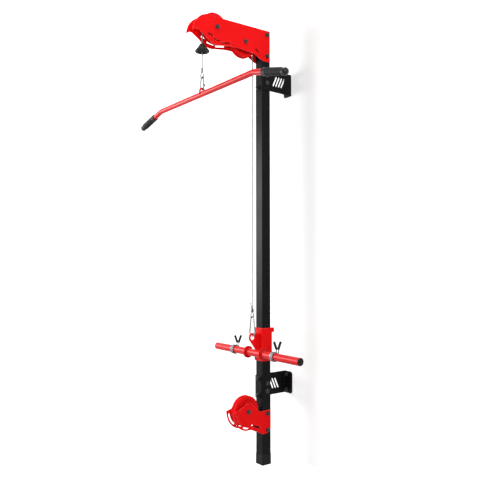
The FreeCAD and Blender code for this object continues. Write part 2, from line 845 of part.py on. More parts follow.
def make_pulley(name, centre):
    """A pulley on its bearing, its axle bolt with a nut, and a spacer each side."""
    part = new_body(f"{name}_pulley")
    turned(part, pulley_outline())
    place(part, "0", centre[0], centre[1])
    node(f"{name}_pulley", part)
    wide = "bearing_width"
    ring_outside = rod(f"-{wide} / 2", *centre, "bearing_radius", wide, ALONG_X)
    ring_bore = rod(f"-{wide} / 2", *centre, "axle_radius + running_play", wide, ALONG_X)
    shields = []
    for start in (f"-{wide} / 2", f"{wide} / 2 - 1"):
        outer = rod(start, *centre, "bearing_radius - 2.5", "1", ALONG_X)
        inner = rod(start, *centre, "axle_radius + 3", "1", ALONG_X)
        shields.append(cut(outer, inner))
    node(f"{name}_bearing", cut(ring_outside, ring_bore, *shields))
    face = f"({HALF} + arm_plate)"
    shank = rod(face, *centre, "axle_radius", f"2 * {face} + nut_thick + 6", ALONG_MINUS_X)
    head = common(hexagon(face, *centre, "1.12 * hex_across", "hex_thick", ALONG_X),
                  ball(f"{face} - 0.3 * hex_across", *centre, "0.79 * hex_across"))
    nut = cut(hexagon(f"-{face}", *centre, "1.12 * hex_across", "nut_thick", ALONG_MINUS_X),
              rod(f"-{face}", *centre, "axle_radius", "nut_thick", ALONG_MINUS_X))
    node(f"{name}_axle", join(shank, head))
    gap = f"{HALF} - pulley_width / 2 - side_play"
    spacers = []
    for start in (f"-{HALF}", "pulley_width / 2 + side_play"):
        spacers.append(cut(rod(start, *centre, "spacer_radius", gap, ALONG_X),
                           rod(start, *centre, "axle_radius", gap, ALONG_X)))
    return nut, spacers


def make_pulleys():
    """Three pulleys; their nuts and spacers are kept as groups."""
    nuts, spacers = [], []
    for name, centre in (("front", FRONT), ("rear", REAR), ("lower", LOW)):
        nut, pair = make_pulley(name, centre)
        nuts.append(nut)
        spacers.extend(pair)
    node("axle_nuts", several(nuts))
    node("pulley_spacers", several(spacers))


# --------------------------------------------------------------------------
# Cable
# --------------------------------------------------------------------------
def point(y, z, x="0"):
    """A point from three expressions."""
    return FreeCAD.Vector(value(x), value(y), value(z))


LINE_Y = "(front_axle_y - cable_track)"
LOAD_Y = "(rear_axle_y + cable_track)"


def make_cable_over_pulleys():
    """The cable round both top pulleys, from one hanging run to the other."""
    front, rear = point(*FRONT), point(*REAR)
    track = value("cable_track")
    run = (front - rear).normalize()
    up = FreeCAD.Vector(0, -run.z, run.y)
    if up.z < 0:
        up = up * -1

    def round_middle(centre, first, second):
        return centre + (first + second).normalize() * track
    back = FreeCAD.Vector(0, 1, 0)
    points = [rear + back * track, rear + up * track, front + up * track,
              front - back * track]
    arcs = {0: round_middle(rear, back, up), 2: round_middle(front, up, back * -1)}
    node("cable_over_pulleys", shaped(pipe(points, value("cable_radius"), arcs)))


def cable_eye(y, top, radius, drop, wire):
    """A loop of cable that hangs from two neighbouring strands, cut level on top."""
    centre = FreeCAD.Vector(0, y, top - drop)
    start = FreeCAD.Vector(0, -(wire + 0.05), drop + 2)
    reach = start.Length
    lean = math.atan2(start.z, start.y) + math.acos(radius / reach)

    def on_eye(angle):
        return centre + FreeCAD.Vector(0, math.cos(angle), math.sin(angle)) * radius
    mirror = math.pi - lean
    points = [centre + start, on_eye(lean), on_eye(mirror),
              centre + FreeCAD.Vector(0, -start.y, start.z)]
    loop = pipe(points, wire, {1: on_eye(-math.pi / 2)})
    return level_cut(loop, y, top, 1)


def level_cut(shape, y, height, keep):
    """Cut a shape at a height, and keep what is below with 1 or above with -1."""
    size = 60
    corner = FreeCAD.Vector(-size / 2, y - size / 2, height if keep > 0 else height - size)
    return shape.cut(Part.makeBox(size, size, size, corner)).Solids[0]


def make_front_line():
    """The cable down to the bar: run, stopper, ferrule and eye."""
    node("cable_front_run", rod("0", LINE_Y, "ferrule_top", "cable_radius",
                                "front_axle_z - ferrule_top"))
    stop = doc.addObject("Part::Cone", "Stop")
    bind(stop, Radius1="stop_radius", Radius2="stop_neck", Height="stop_height - 5")
    place(stop, "0", LINE_Y, "stop_top - stop_height + 5")
    rim = rod("0", LINE_Y, "stop_top - stop_height", "stop_radius", "5")
    dish = doc.addObject("Part::Cone", "Dish")
    bind(dish, Radius1="stop_radius - 6", Radius2="stop_neck - 4", Height="0.45 * stop_height")
    place(dish, "0", LINE_Y, "stop_top - stop_height")
    bore = rod("0", LINE_Y, "stop_top - stop_height", "cable_radius + cable_play",
               "stop_height")
    node("cable_stop", cut(join(stop, rim), dish, bore))
    ferrule = rod("0", LINE_Y, "ferrule_top - ferrule_length", "ferrule_radius",
                  "ferrule_length")
    node("line_ferrule", ferrule)
    node("line_eye", shaped(cable_eye(value(LINE_Y), value("ferrule_top - ferrule_length"),
                                      value("eye_radius"), value("eye_drop"),
                                      value("cable_radius"))))


LOAD_EYE_Y = f"({LOAD_Y} - cable_radius)"
LOAD_HOOK_FOOT = "(fin_eye_z + fin_eye_hole - load_hook_wire - side_play)"
LOAD_HOOK_HEAD = f"({LOAD_HOOK_FOOT} + load_hook_length)"
CLAMP_FOOT = (f"({LOAD_HOOK_HEAD} - load_hook_wire - side_play - cable_radius"
              " + eye_radius + eye_drop)")


def make_load_line():
    """The cable down to the carriage: run, clamp, free tail and eye."""
    top = f"({CLAMP_FOOT} + clamp_height)"
    node("cable_load_run", rod("0", LOAD_Y, top, "cable_radius", f"rear_axle_z - {top}"))
    saddle = block("-8", f"{LOAD_EYE_Y} - 6.5", CLAMP_FOOT, "11", "13", "clamp_height")
    node("cable_clamp", saddle)
    screws = []
    for level in ("0.25 * clamp_height", "0.75 * clamp_height"):
        place_z = f"{CLAMP_FOOT} + {level}"
        screws.append(join(rod("3", LOAD_EYE_Y, place_z, "2", "7", ALONG_X),
                           hexagon("3", LOAD_EYE_Y, place_z, "6.6", "4", ALONG_X)))
    node("clamp_screws", several(screws))
    start = point(f"{LOAD_EYE_Y} - cable_radius - 0.05", f"{top} - 2")
    reach = value("tail_length")
    turn = start + FreeCAD.Vector(0, -0.07 * reach, 0.4 * reach)
    end = start + FreeCAD.Vector(0, -0.28 * reach, reach)
    tail = pipe([start, turn, end], value("cable_radius"))
    node("cable_tail", shaped(level_cut(tail, start.y, value(top), -1)))
    node("load_eye", shaped(cable_eye(value(LOAD_EYE_Y), value(CLAMP_FOOT),
                                      value("eye_radius"), value("eye_drop"),
                                      value("cable_radius"))))


# --------------------------------------------------------------------------
# Snap hooks
# --------------------------------------------------------------------------
def make_snap_hook(prefix, y, head, size):
    """A pear-shaped wire hook with a clevis, and the gate that swings in it."""
    wire, top, bottom, length = (value(f"{size}_{part}")
                                 for part in ("wire", "top", "bottom", "length"))
    gap, slim, pin = value("gate_gap"), value("gate_slim"), value("gate_pin")
    head_centre = FreeCAD.Vector(0, value(y), value(head) - top)
    foot_centre = FreeCAD.Vector(0, value(y), value(head) - length + bottom)
    lean = math.asin((bottom - top) / (head_centre.z - foot_centre.z))

    def out(side):
        return FreeCAD.Vector(side * math.cos(lean), 0, math.sin(lean))
    up = FreeCAD.Vector(-math.sin(lean), 0, math.cos(lean))
    nose, heel = head_centre + out(1) * top, foot_centre + out(1) * bottom
    points = [nose, head_centre + out(-1) * top, foot_centre + out(-1) * bottom, heel]
    arcs = {0: head_centre + FreeCAD.Vector(0, 0, top),
            2: foot_centre - FreeCAD.Vector(0, 0, bottom)}
    body = pipe(points, wire, arcs)
    gate_wire = wire - slim
    pivot = heel + up * (gate_wire + gap)
    boss, half = gate_wire + gap + 0.6 * wire, wire + 0.9
    cheeks = Part.makeCylinder(boss, 2 * half, pivot - AXIS_Y * half, AXIS_Y)
    room = gate_wire + 0.35
    cheeks = cheeks.cut(Part.makeCylinder(2 * boss, 2 * room, pivot - AXIS_Y * room, AXIS_Y))
    bore = Part.makeCylinder(pin, 2 * half, pivot - AXIS_Y * half, AXIS_Y)
    body = body.fuse(cheeks).cut(bore)
    node(f"{prefix}_hook", shaped(Part.makeCompound([body.Solids[0], bore])))
    reach = (nose - pivot).Length - gap
    gate = Part.makeCylinder(gate_wire, reach, pivot, up)
    gate = gate.fuse(Part.makeSphere(gate_wire, pivot))
    gate = gate.cut(Part.makeCylinder(pin + value("running_play"), 2 * half,
                                      pivot - AXIS_Y * half, AXIS_Y))
    node(f"{prefix}_hook_gate", shaped(gate.Solids[0]))
    print(f"{prefix}_hook_gate pivot {pivot.x:.3f} {pivot.y:.3f} {pivot.z:.3f}")


LINE_EYE_SEAT = ("(ferrule_top - ferrule_length - eye_drop - eye_radius + cable_radius"
                 " + bar_hook_wire + side_play)")


# --------------------------------------------------------------------------
# Lat bar
# --------------------------------------------------------------------------
BAR_EYE_CROWN = f"({LINE_EYE_SEAT} - bar_hook_length + bar_hook_wire + side_play)"
BAR_Z = f"({BAR_EYE_CROWN} + bar_eye_wire - bar_eye_radius - 1.15 * bar_radius)"


def bent_bar(points, radius, bend):
    """A round bar along straight runs joined by tangent arcs of one bend radius."""
    route, arcs = [points[0]], {}
    for before, corner, after in zip(points, points[1:], points[2:]):
        back, ahead = (before - corner).normalize(), (after - corner).normalize()
        half = math.acos(max(-1.0, min(1.0, back.dot(ahead)))) / 2
        setback = bend / math.tan(half)
        middle = (back + ahead).normalize()
        route.append(corner + back * setback)
        arcs[len(route) - 1] = corner + middle * (bend / math.sin(half) - bend)
        route.append(corner + ahead * setback)
    route.append(points[-1])
    return pipe(route, radius, arcs)


def make_lat_bar():
    """Bent tube with an eye on top, a ribbed grip and a round cap at each end."""
    z = value(BAR_Z)
    y = value(LINE_Y)
    bend_x, end_x, drop = value("bar_bend_x"), value("bar_end_x"), value("bar_drop")
    corners = [FreeCAD.Vector(-end_x, y, z - drop), FreeCAD.Vector(-bend_x, y, z),
               FreeCAD.Vector(bend_x, y, z), FreeCAD.Vector(end_x, y, z - drop)]
    bend, radius = value("bar_bend_radius"), value("bar_radius")
    outside = bent_bar(corners, radius, bend)
    tube = outside.cut(bent_bar(corners, radius - value("bar_wall"), bend))
    eye_radius, eye_wire = value("bar_eye_radius"), value("bar_eye_wire")
    eye_z = value(f"{BAR_EYE_CROWN} + bar_eye_wire - bar_eye_radius")
    legs = [FreeCAD.Vector(0, y - eye_radius, z), FreeCAD.Vector(0, y - eye_radius, eye_z),
            FreeCAD.Vector(0, y + eye_radius, eye_z), FreeCAD.Vector(0, y + eye_radius, z)]
    eye = pipe(legs, eye_wire, {1: FreeCAD.Vector(0, y, eye_z + eye_radius)})
    node("lat_bar_tube", shaped(tube))
    node("bar_eye", shaped(eye.cut(outside)))
    slope = (corners[3] - corners[2]).normalize()
    grips, caps = [], []
    for side in (-1, 1):
        end = FreeCAD.Vector(side * end_x, y, z - drop)
        inward = FreeCAD.Vector(-side * slope.x, 0, -slope.z)
        grip = Part.makeCylinder(value("grip_radius"), value("grip_length"), end, inward)
        grip = grip.cut(outside)
        ribs = int(value("grip_length / 8"))
        for number in range(1, ribs):
            groove = Part.makeTorus(value("grip_radius"), 1.1,
                                    end + inward * (number * value("grip_length") / ribs),
                                    inward)
            grip = grip.cut(groove)
        grips.append(grip.Solids[0])
        cap = Part.makeSphere(value("grip_radius") - 1,
                              end + inward * (value("grip_radius - cap_length") - 1))
        keep = Part.makeCylinder(value("grip_radius"), value("2 * cap_length"),
                                 end - inward * value("2 * cap_length"), inward)
        stub = Part.makeCylinder(radius - value("bar_wall + running_play"), 15, end, inward)
        caps.append(cap.common(keep).fuse(stub).Solids[0])
    node("bar_grips", shaped(Part.makeCompound(grips)))
    node("bar_end_caps", shaped(Part.makeCompound(caps)))


# --------------------------------------------------------------------------
# Plate carriage
# --------------------------------------------------------------------------
SLEEVE = "sleeve_side / 2"
ROD_Y = f"(-({SLEEVE} + rod_radius + 0.02))"


def make_sleeve():
    """Square sleeve round the post, with two ears at its rear top edge."""
    part = new_body("Sleeve")
    drawing = sketch_on(part, "XY_Plane", "sleeve_bottom")
    draw_loop(drawing, rectangle(f"-{SLEEVE}", f"-{SLEEVE}", SLEEVE, SLEEVE))
    inside = f"({SLEEVE} - sleeve_wall)"
    draw_loop(drawing, rectangle(f"-{inside}", f"-{inside}", inside, inside))
    pad(part, drawing, "sleeve_height")
    corners = [(a, b, "sleeve_bottom") for a in (f"-{SLEEVE}", SLEEVE)
               for b in (f"-{SLEEVE}", SLEEVE)]
    round_corners(part, corners, "sleeve_corner", AXIS_Z)
    top = "sleeve_bottom + sleeve_height"
    for offset in (f"{SLEEVE} - sleeve_wall", f"-{SLEEVE}"):
        ear = rectangle(f"{SLEEVE} - sleeve_corner", f"{top} - ear_height",
                        f"{SLEEVE} + ear_reach", top)
        plate(part, "YZ_Plane", ear, "sleeve_wall", offset)
    node("carriage_sleeve", part)


def make_liners():
    """Plastic glide rings between the sleeve and the post, at both ends of the sleeve."""
    top = "sleeve_bottom + sleeve_height - liner_height"
    liners = []
    for level in ("sleeve_bottom", top):
        part = new_body("Liner")
        drawing = sketch_on(part, "XY_Plane", level)
        outer = f"({SLEEVE} - sleeve_wall)"
        inner = f"({HALF} + liner_play)"
        draw_loop(drawing, rectangle(f"-{outer}", f"-{outer}", outer, outer))
        draw_loop(drawing, rectangle(f"-{inner}", f"-{inner}", inner, inner))
        pad(part, drawing, "liner_height")
        liners.append(part)
    node("glide_liners", several(liners))


def make_fin():
    """Upright lifting plate on the sleeve's front, with the eye for the hook."""
    part = new_body("Fin")
    eye = (LOAD_EYE_Y, "fin_eye_z")
    foot = "rod_z + rod_radius"
    steps = [
        (f"-{SLEEVE}", foot),
        (f"-{SLEEVE}", "fin_eye_z + fin_eye_edge - 3"),
        (*on_circle(eye, "fin_eye_edge", 82), ("left", "fin_eye_edge")),
        on_circle(eye, "fin_eye_edge", 215),
        (ROD_Y, foot),
    ]
    plate(part, "YZ_Plane", steps, "fin_thick", "-fin_thick / 2")
    drill(part, "YZ_Plane", [eye], "fin_eye_hole")
    node("lifting_fin", part)


def make_weight_rod():
    """Cross tube for the plates with two stop discs and two end plugs."""
    tube = cut(rod("-rod_half", ROD_Y, "rod_z", "rod_radius", "2 * rod_half", ALONG_X),
               rod("-rod_half", ROD_Y, "rod_z", "rod_radius - rod_wall", "2 * rod_half",
                   ALONG_X))
    node("weight_rod", tube)
    discs, plugs = [], []
    for sign, turn in ((-1, ALONG_MINUS_X), (1, ALONG_X)):
        start = f"{sign} * (disc_x - disc_thick / 2)"
        discs.append(cut(rod(start, ROD_Y, "rod_z", "disc_radius", "disc_thick", turn),
                         rod(start, ROD_Y, "rod_z", "rod_radius", "disc_thick", turn)))
        cover = rod(f"{sign} * rod_half", ROD_Y, "rod_z", "rod_radius", "rod_plug", turn)
        stem = rod(f"{sign} * (rod_half - 18)", ROD_Y, "rod_z",
                   "rod_radius - rod_wall - running_play", "18", turn)
        plugs.append(join(cover, stem))
    node("stop_discs", several(discs))
    node("rod_end_plugs", several(plugs))


# --------------------------------------------------------------------------
# Spring collars
# --------------------------------------------------------------------------
def collar_handle(x, y, z, coil, wire, spread):
    """A wire end that leaves the coil at the back, rises and leans outwards.

    It is a little thinner than the coil, so the two meet in a clean edge.
    """
    thin = 0.92 * wire
    root = FreeCAD.Vector(x, y + coil, z - 0.2 * coil)
    bend = FreeCAD.Vector(x, y + coil - 0.5, z + 1.7 * coil)
    tip = bend + FreeCAD.Vector(0, spread, value("collar_grip_length") * 0.92)
    stem = Part.makeCylinder(thin, (bend - root).Length, root, bend - root)
    grip = Part.makeCylinder(value("collar_grip_radius"), (tip - bend).Length, bend, tip - bend)
    grip = grip.fuse(Part.makeSphere(value("collar_grip_radius"), tip))
    grip = grip.fuse(Part.makeSphere(value("collar_grip_radius"), bend))
    return stem, grip


def make_collar(name, centre):
    """A spring collar: three turns with one handle, and one turn with the other."""
    x, y, z = value(centre), value(ROD_Y), value("rod_z")
    wire = value("collar_wire")
    coil = value("rod_radius + collar_wire + cable_play")
    pitch = 1.92 * wire

    def turns(offsets):
        middle = FreeCAD.Vector(x, y, z)
        rounds = [Part.Face(Part.Wire(Part.makeCircle(
            wire, middle + FreeCAD.Vector(offset, -coil, 0), AXIS_Z))) for offset in offsets]
        section = rounds[0]
        if rounds[1:]:
            section = section.fuse(rounds[1:]).removeSplitter().Faces[0]
        return section.revolve(middle, AXIS_X, 360)
    offsets = [step * 1.8 * wire for step in (-1, 0, 1)]
    handle, grip = collar_handle(x + offsets[0], y, z, coil, wire, -12)
    spring = turns(offsets).fuse(handle)
    node(f"{name}_collar_spring", shaped(spring.cut(grip)))
    node(f"{name}_collar_grip", shaped(grip))
    last = offsets[-1] + 2 * wire + value("side_play")
    lever, lever_grip = collar_handle(x + last, y, z, coil, wire, 12)
    lever = turns([last]).fuse(lever)
    node(f"{name}_collar_lever", shaped(lever.cut(lever_grip)))
    node(f"{name}_lever_grip", shaped(lever_grip))


# --------------------------------------------------------------------------
# Build, check and write
# --------------------------------------------------------------------------
def build():
    """Make every sub-part, from the post outwards."""
    make_post()
    make_top_plug()
    make_foot_cap()
    make_wall_bracket("lower_wall_bracket", "bracket_lower_z", HALF_TURN_Y)
    make_wall_bracket("upper_wall_bracket", "bracket_upper_z", UP)
    make_bracket_fasteners()
    make_arms()
    make_pulleys()
    make_cable_over_pulleys()
    make_front_line()
    make_load_line()
    make_snap_hook("bar", LINE_Y, LINE_EYE_SEAT, "bar_hook")
    make_snap_hook("load", LOAD_EYE_Y, LOAD_HOOK_HEAD, "load_hook")
    make_lat_bar()
    make_sleeve()
    make_liners()
    make_fin()
    make_weight_rod()
    make_collar("left", "collar_left_x")
    make_collar("right", "collar_right_x")


def check():
    """Stop if any object failed or any sub-part has no valid shape."""
    doc.recompute()
    failed = [thing.Label for thing in doc.Objects
              if "Invalid" in thing.State or "Error" in thing.State]
    for label, thing in NODES.items():
        if thing.Shape.isNull() or not thing.Shape.isValid():
            failed.append(label)
        elif not thing.Shape.Solids:
            failed.append(f"{label} has no solid")
    if failed:
        raise ValueError(f"failed: {', '.join(failed)}")


def write():
    """Write each sub-part's shape to its own STEP file."""
    os.makedirs("parts", exist_ok=True)
    for label, thing in NODES.items():
        thing.Shape.exportStep(f"parts/{label}.step")
        box = thing.Shape.BoundBox
        print(f"{label}: {len(thing.Shape.Solids)} solids,"
              f" X {box.XMin:.1f}..{box.XMax:.1f}"
              f" Y {box.YMin:.1f}..{box.YMax:.1f} Z {box.ZMin:.1f}..{box.ZMax:.1f}")
    print(f"{len(NODES)} nodes")


build()
check()
write()
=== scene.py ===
"""Looks of a wall-mounted cable pulley station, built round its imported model.

Every length is in metres. X runs along the bars, -Y is the user's side, the wall
stands at the back of the brackets and Z is up. A piece rides on the same body as the
part it stands for.
"""

from __future__ import annotations

import json
import logging
import math
from dataclasses import dataclass, field
from enum import Enum
from typing import Any, Iterable, Sequence

import bmesh
import bpy
from mathutils import Matrix, Vector

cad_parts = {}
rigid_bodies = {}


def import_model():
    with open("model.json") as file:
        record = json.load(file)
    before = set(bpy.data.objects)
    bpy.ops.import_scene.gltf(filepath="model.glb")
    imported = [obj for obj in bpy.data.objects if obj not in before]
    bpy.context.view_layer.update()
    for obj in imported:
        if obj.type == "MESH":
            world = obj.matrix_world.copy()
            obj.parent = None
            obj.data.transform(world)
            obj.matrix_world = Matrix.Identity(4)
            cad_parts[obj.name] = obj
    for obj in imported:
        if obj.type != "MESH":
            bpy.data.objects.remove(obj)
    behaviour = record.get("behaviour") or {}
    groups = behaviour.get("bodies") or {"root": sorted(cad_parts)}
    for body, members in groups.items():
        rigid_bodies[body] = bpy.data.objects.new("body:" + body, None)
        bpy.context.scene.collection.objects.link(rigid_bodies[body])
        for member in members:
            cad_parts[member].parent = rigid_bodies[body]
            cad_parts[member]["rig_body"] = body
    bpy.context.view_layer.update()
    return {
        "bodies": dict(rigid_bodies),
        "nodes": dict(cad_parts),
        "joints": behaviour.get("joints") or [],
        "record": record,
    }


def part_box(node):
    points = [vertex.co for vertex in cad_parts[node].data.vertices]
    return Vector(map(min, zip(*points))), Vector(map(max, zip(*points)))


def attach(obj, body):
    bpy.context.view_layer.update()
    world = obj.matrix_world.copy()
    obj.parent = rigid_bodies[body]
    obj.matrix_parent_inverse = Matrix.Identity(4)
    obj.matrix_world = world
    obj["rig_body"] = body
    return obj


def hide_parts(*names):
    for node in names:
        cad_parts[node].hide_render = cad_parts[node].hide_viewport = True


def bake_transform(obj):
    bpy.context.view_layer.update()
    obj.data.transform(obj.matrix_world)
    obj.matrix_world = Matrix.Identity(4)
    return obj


LOG = logging.getLogger("pulley_station")
FULL_TURN = 2 * math.pi
MM = 0.001

Profile = Sequence[tuple[float, float]]
Box = tuple[Vector, Vector]


class Slot(Enum):
    """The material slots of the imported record."""

    RED_PLATE = "red_plate"
    RED_TUBE = "red_tube"
    RED_WHEEL = "red_wheel"
    POST_BLACK = "post_black"
    PLUG_PLASTIC = "plug_plastic"
    LINER_PLASTIC = "liner_plastic"
    BOLT_BLACK = "bolt_black"
    CAP_PLASTIC = "cap_plastic"
    BEARING_STEEL = "bearing_steel"
    CABLE_STEEL = "cable_steel"
    ZINC = "zinc"
    CHROME_HOOK = "chrome_hook"
    RUBBER_BLACK = "rubber_black"
    GRIP_RUBBER = "grip_rubber"
    CAP_GLOSS = "cap_gloss"


class Axis(Enum):
    """The directions that a turned piece's own Z axis can be laid along."""

    ALONG_X = (1.0, 0.0, 0.0)
    AGAINST_X = (-1.0, 0.0, 0.0)
    ALONG_Y = (0.0, 1.0, 0.0)
    AGAINST_Y = (0.0, -1.0, 0.0)
    UP = (0.0, 0.0, 1.0)
    DOWN = (0.0, 0.0, -1.0)


@dataclass(frozen=True)
class Colour:
    """A colour as it is seen, each channel from 0 to 255."""

    red: int
    green: int
    blue: int

    def linear(self) -> tuple[float, float, float, float]:
        """The colour as the shader takes it.

        Returns:
            Red, green, blue and a full alpha, each from 0 to 1.
        """
        def channel(level: int) -> float:
            """One channel, out of its display curve."""
            share = level / 255
            return share / 12.92 if share <= 0.04045 else ((share + 0.055) / 1.055) ** 2.4
        return channel(self.red), channel(self.green), channel(self.blue), 1.0


# --------------------------------------------------------------------------
# Shader trees
# --------------------------------------------------------------------------
class Tree:
    """Adds and joins the nodes of one shader tree."""

    def __init__(self, tree: bpy.types.NodeTree) -> None:
        """Starts on a tree.

        Args:
            tree: the node tree of a material, a world or a group.
        """
        self.tree = tree

    def add(self, kind: str, settings: dict[str, Any] | None = None,
            **inputs: Any) -> bpy.types.Node:
        """Adds a node.

        Args:
            kind: the node's type name.
            settings: the node's own properties.
            inputs: a value or an output socket for each named input, with _ for a space.

        Returns:
            The new node.
        """
        node = self.tree.nodes.new(kind)
        for name, value in (settings or {}).items():
            setattr(node, name, value)
        for name, value in inputs.items():
            self.feed(node.inputs[name.replace("_", " ")], value)
        return node

    def feed(self, socket: bpy.types.NodeSocket, value: Any) -> None:
        """Links a socket to an output, or sets its value.

        Args:
            socket: an input.
            value: a value or an output socket.
        """
        if isinstance(value, bpy.types.NodeSocket):
            self.tree.links.new(value, socket)
        else:
            socket.default_value = value

    def maths(self, operation: str, first: Any, second: Any = 0.0,
              clamp: bool = False) -> bpy.types.NodeSocket:
        """One arithmetic step.

        Args:
            operation: the name of the Math node's operation.
            first: a value or an output socket.
            second: a value or an output socket.
            clamp: keep the result from 0 to 1.

        Returns:
            The result's socket.
        """
        node = self.add("ShaderNodeMath", {"operation": operation, "use_clamp": clamp})
        self.feed(node.inputs[0], first)
        self.feed(node.inputs[1], second)
        return node.outputs[0]

    def ramp(self, value: Any, low: float, high: float, start: float = 0.0,
             end: float = 1.0) -> bpy.types.NodeSocket:
        """Maps low..high to start..end, and holds it there.

        Args:
            value: a value or an output socket.
            low: where the ramp starts.
            high: where it ends.
            start: the result at low.
            end: the result at high.

        Returns:
            The result's socket.
        """
        node = self.add("ShaderNodeMapRange", {"clamp": True}, Value=value)
        for name, number in (("From Min", low), ("From Max", high), ("To Min", start),
                             ("To Max", end)):
            node.inputs[name].default_value = number
        return node.outputs["Result"]

    def blend(self, share: Any, first: Any, second: Any) -> bpy.types.NodeSocket:
        """Mixes two colours by a share.

        Args:
            share: of the second colour, from 0 to 1.
            first: a colour or an output socket.
            second: a colour or an output socket.

        Returns:
            The mixed colour's socket.
        """
        node = self.add("ShaderNodeMix", {"data_type": "RGBA"})
        self.feed(node.inputs[0], share)
        self.feed(node.inputs[6], first)
        self.feed(node.inputs[7], second)
        return node.outputs[2]

    def noise(self, place: Any, scale: Any, detail: float = 2.0,
              rough: float = 0.5) -> bpy.types.NodeSocket:
        """A noise value on a place.

        Args:
            place: the socket of the coordinates.
            scale: lumps in a metre, about.
            detail: how many finer layers it has.
            rough: how strong those layers are.

        Returns:
            The noise's socket.
        """
        node = self.add("ShaderNodeTexNoise", Vector=place, Scale=scale)
        node.inputs["Detail"].default_value = detail
        node.inputs["Roughness"].default_value = rough
        return node.outputs["Fac"]

    def own_place(self) -> bpy.types.NodeSocket:
        """The object's own coordinates."""
        return self.add("ShaderNodeTexCoord").outputs["Object"]


class Socket(Enum):
    """The socket types of a node group."""

    VALUE = "NodeSocketFloat"
    COLOUR = "NodeSocketColor"
    VECTOR = "NodeSocketVector"


class Group:
    """A shader node group that several finishes share, built once."""

    name = "Group"
    inputs: dict[str, tuple[Socket, Any]] = {}
    outputs: dict[str, Socket] = {}

    def __init__(self) -> None:
        """Makes the group's sockets and its inner nodes."""
        tree = bpy.data.node_groups.new(self.name, "ShaderNodeTree")
        for label, (kind, default) in self.inputs.items():
            socket = tree.interface.new_socket(label, in_out="INPUT", socket_type=kind.value)
            socket.default_value = default
        for label, kind in self.outputs.items():
            tree.interface.new_socket(label, in_out="OUTPUT", socket_type=kind.value)
        self.tree = tree
        inner = Tree(tree)
        given = inner.add("NodeGroupInput").outputs
        made = self.wire(inner, given)
        result = inner.add("NodeGroupOutput")
        for label, socket in made.items():
            inner.feed(result.inputs[label], socket)

    def wire(self, tree: Tree, given: Any) -> dict[str, bpy.types.NodeSocket]:
        """Builds the inside.

        Args:
            tree: the group's tree.
            given: the group's input sockets, by name.

        Returns:
            A socket for each output.
        """
        raise NotImplementedError

    def place(self, tree: Tree, **inputs: Any) -> Any:
        """Puts the group in a material.

        Args:
            tree: the material's tree.
            inputs: a value or a socket for each named input, with _ for a space.

        Returns:
            The group node's outputs.
        """
        node = tree.add("ShaderNodeGroup", {"node_tree": self.tree})
        for label, value in inputs.items():
            tree.feed(node.inputs[label.replace("_", " ")], value)
        return node.outputs


class SkinGrain(Group):
    """Orange peel or moulded grain: soft lumps with fine specks on them."""

    name = "Skin grain"
    inputs = {"Lump Scale": (Socket.VALUE, 400.0), "Speck Scale": (Socket.VALUE, 1800.0),
              "Speck Share": (Socket.VALUE, 0.3)}
    outputs = {"Height": Socket.VALUE}

    def wire(self, tree: Tree, given: Any) -> dict[str, bpy.types.NodeSocket]:
        """Two noises, one over the other.

        Args:
            tree: the group's tree.
            given: the group's input sockets, by name.

        Returns:
            A socket for each output.
        """
        place = tree.own_place()
        lumps = tree.noise(place, given["Lump Scale"], 2.0)
        specks = tree.noise(place, given["Speck Scale"], 3.0, 0.6)
        share = given["Speck Share"]
        rest = tree.maths("SUBTRACT", 1.0, share)
        height = tree.maths("ADD", tree.maths("MULTIPLY", lumps, rest),
                            tree.maths("MULTIPLY", specks, share))
        return {"Height": height}


class ToneDrift(Group):
    """Slow change of tone over a surface."""

    name = "Tone drift"
    inputs = {"Colour": (Socket.COLOUR, (0.5, 0.5, 0.5, 1)),
              "Far Colour": (Socket.COLOUR, (0.4, 0.4, 0.4, 1)),
              "Scale": (Socket.VALUE, 6.0)}
    outputs = {"Colour": Socket.COLOUR, "Drift": Socket.VALUE}

    def wire(self, tree: Tree, given: Any) -> dict[str, bpy.types.NodeSocket]:
        """A wide noise that picks between two colours.

        Args:
            tree: the group's tree.
            given: the group's input sockets, by name.

        Returns:
            A socket for each output.
        """
        drift = tree.ramp(tree.noise(tree.own_place(), given["Scale"], 5.0, 0.62), 0.34, 0.66)
        return {"Colour": tree.blend(drift, given["Colour"], given["Far Colour"]),
                "Drift": drift}


class EdgeWearAndPaintedHighlight(Group):
    """A patchy mask along the edges: rubbed finish, and, with a pale edge colour, a painted
    highlight on the edges.
    """

    name = "Edge wear"
    inputs = {"Radius": (Socket.VALUE, 0.001), "Amount": (Socket.VALUE, 1.0),
              "Breakup": (Socket.VALUE, 90.0)}
    outputs = {"Mask": Socket.VALUE}

    def wire(self, tree: Tree, given: Any) -> dict[str, bpy.types.NodeSocket]:
        """The turn of a rounded normal against the true one, broken up by noise.

        Args:
            tree: the group's tree.
            given: the group's input sockets, by name.

        Returns:
            A socket for each output.
        """
        rounded = tree.add("ShaderNodeBevel", {"samples": 4}, Radius=given["Radius"])
        true = tree.add("ShaderNodeNewGeometry").outputs["Normal"]
        turn = tree.add("ShaderNodeVectorMath", {"operation": "DOT_PRODUCT"})
        tree.feed(turn.inputs[0], rounded.outputs[0])
        tree.feed(turn.inputs[1], true)
        edge = tree.ramp(turn.outputs["Value"], 0.985, 0.78)
        patches = tree.ramp(tree.noise(tree.own_place(), given["Breakup"], 6.0, 0.7), 0.4, 0.62)
        mask = tree.maths("MULTIPLY", tree.maths("MULTIPLY", edge, patches), given["Amount"],
                          True)
        return {"Mask": mask}


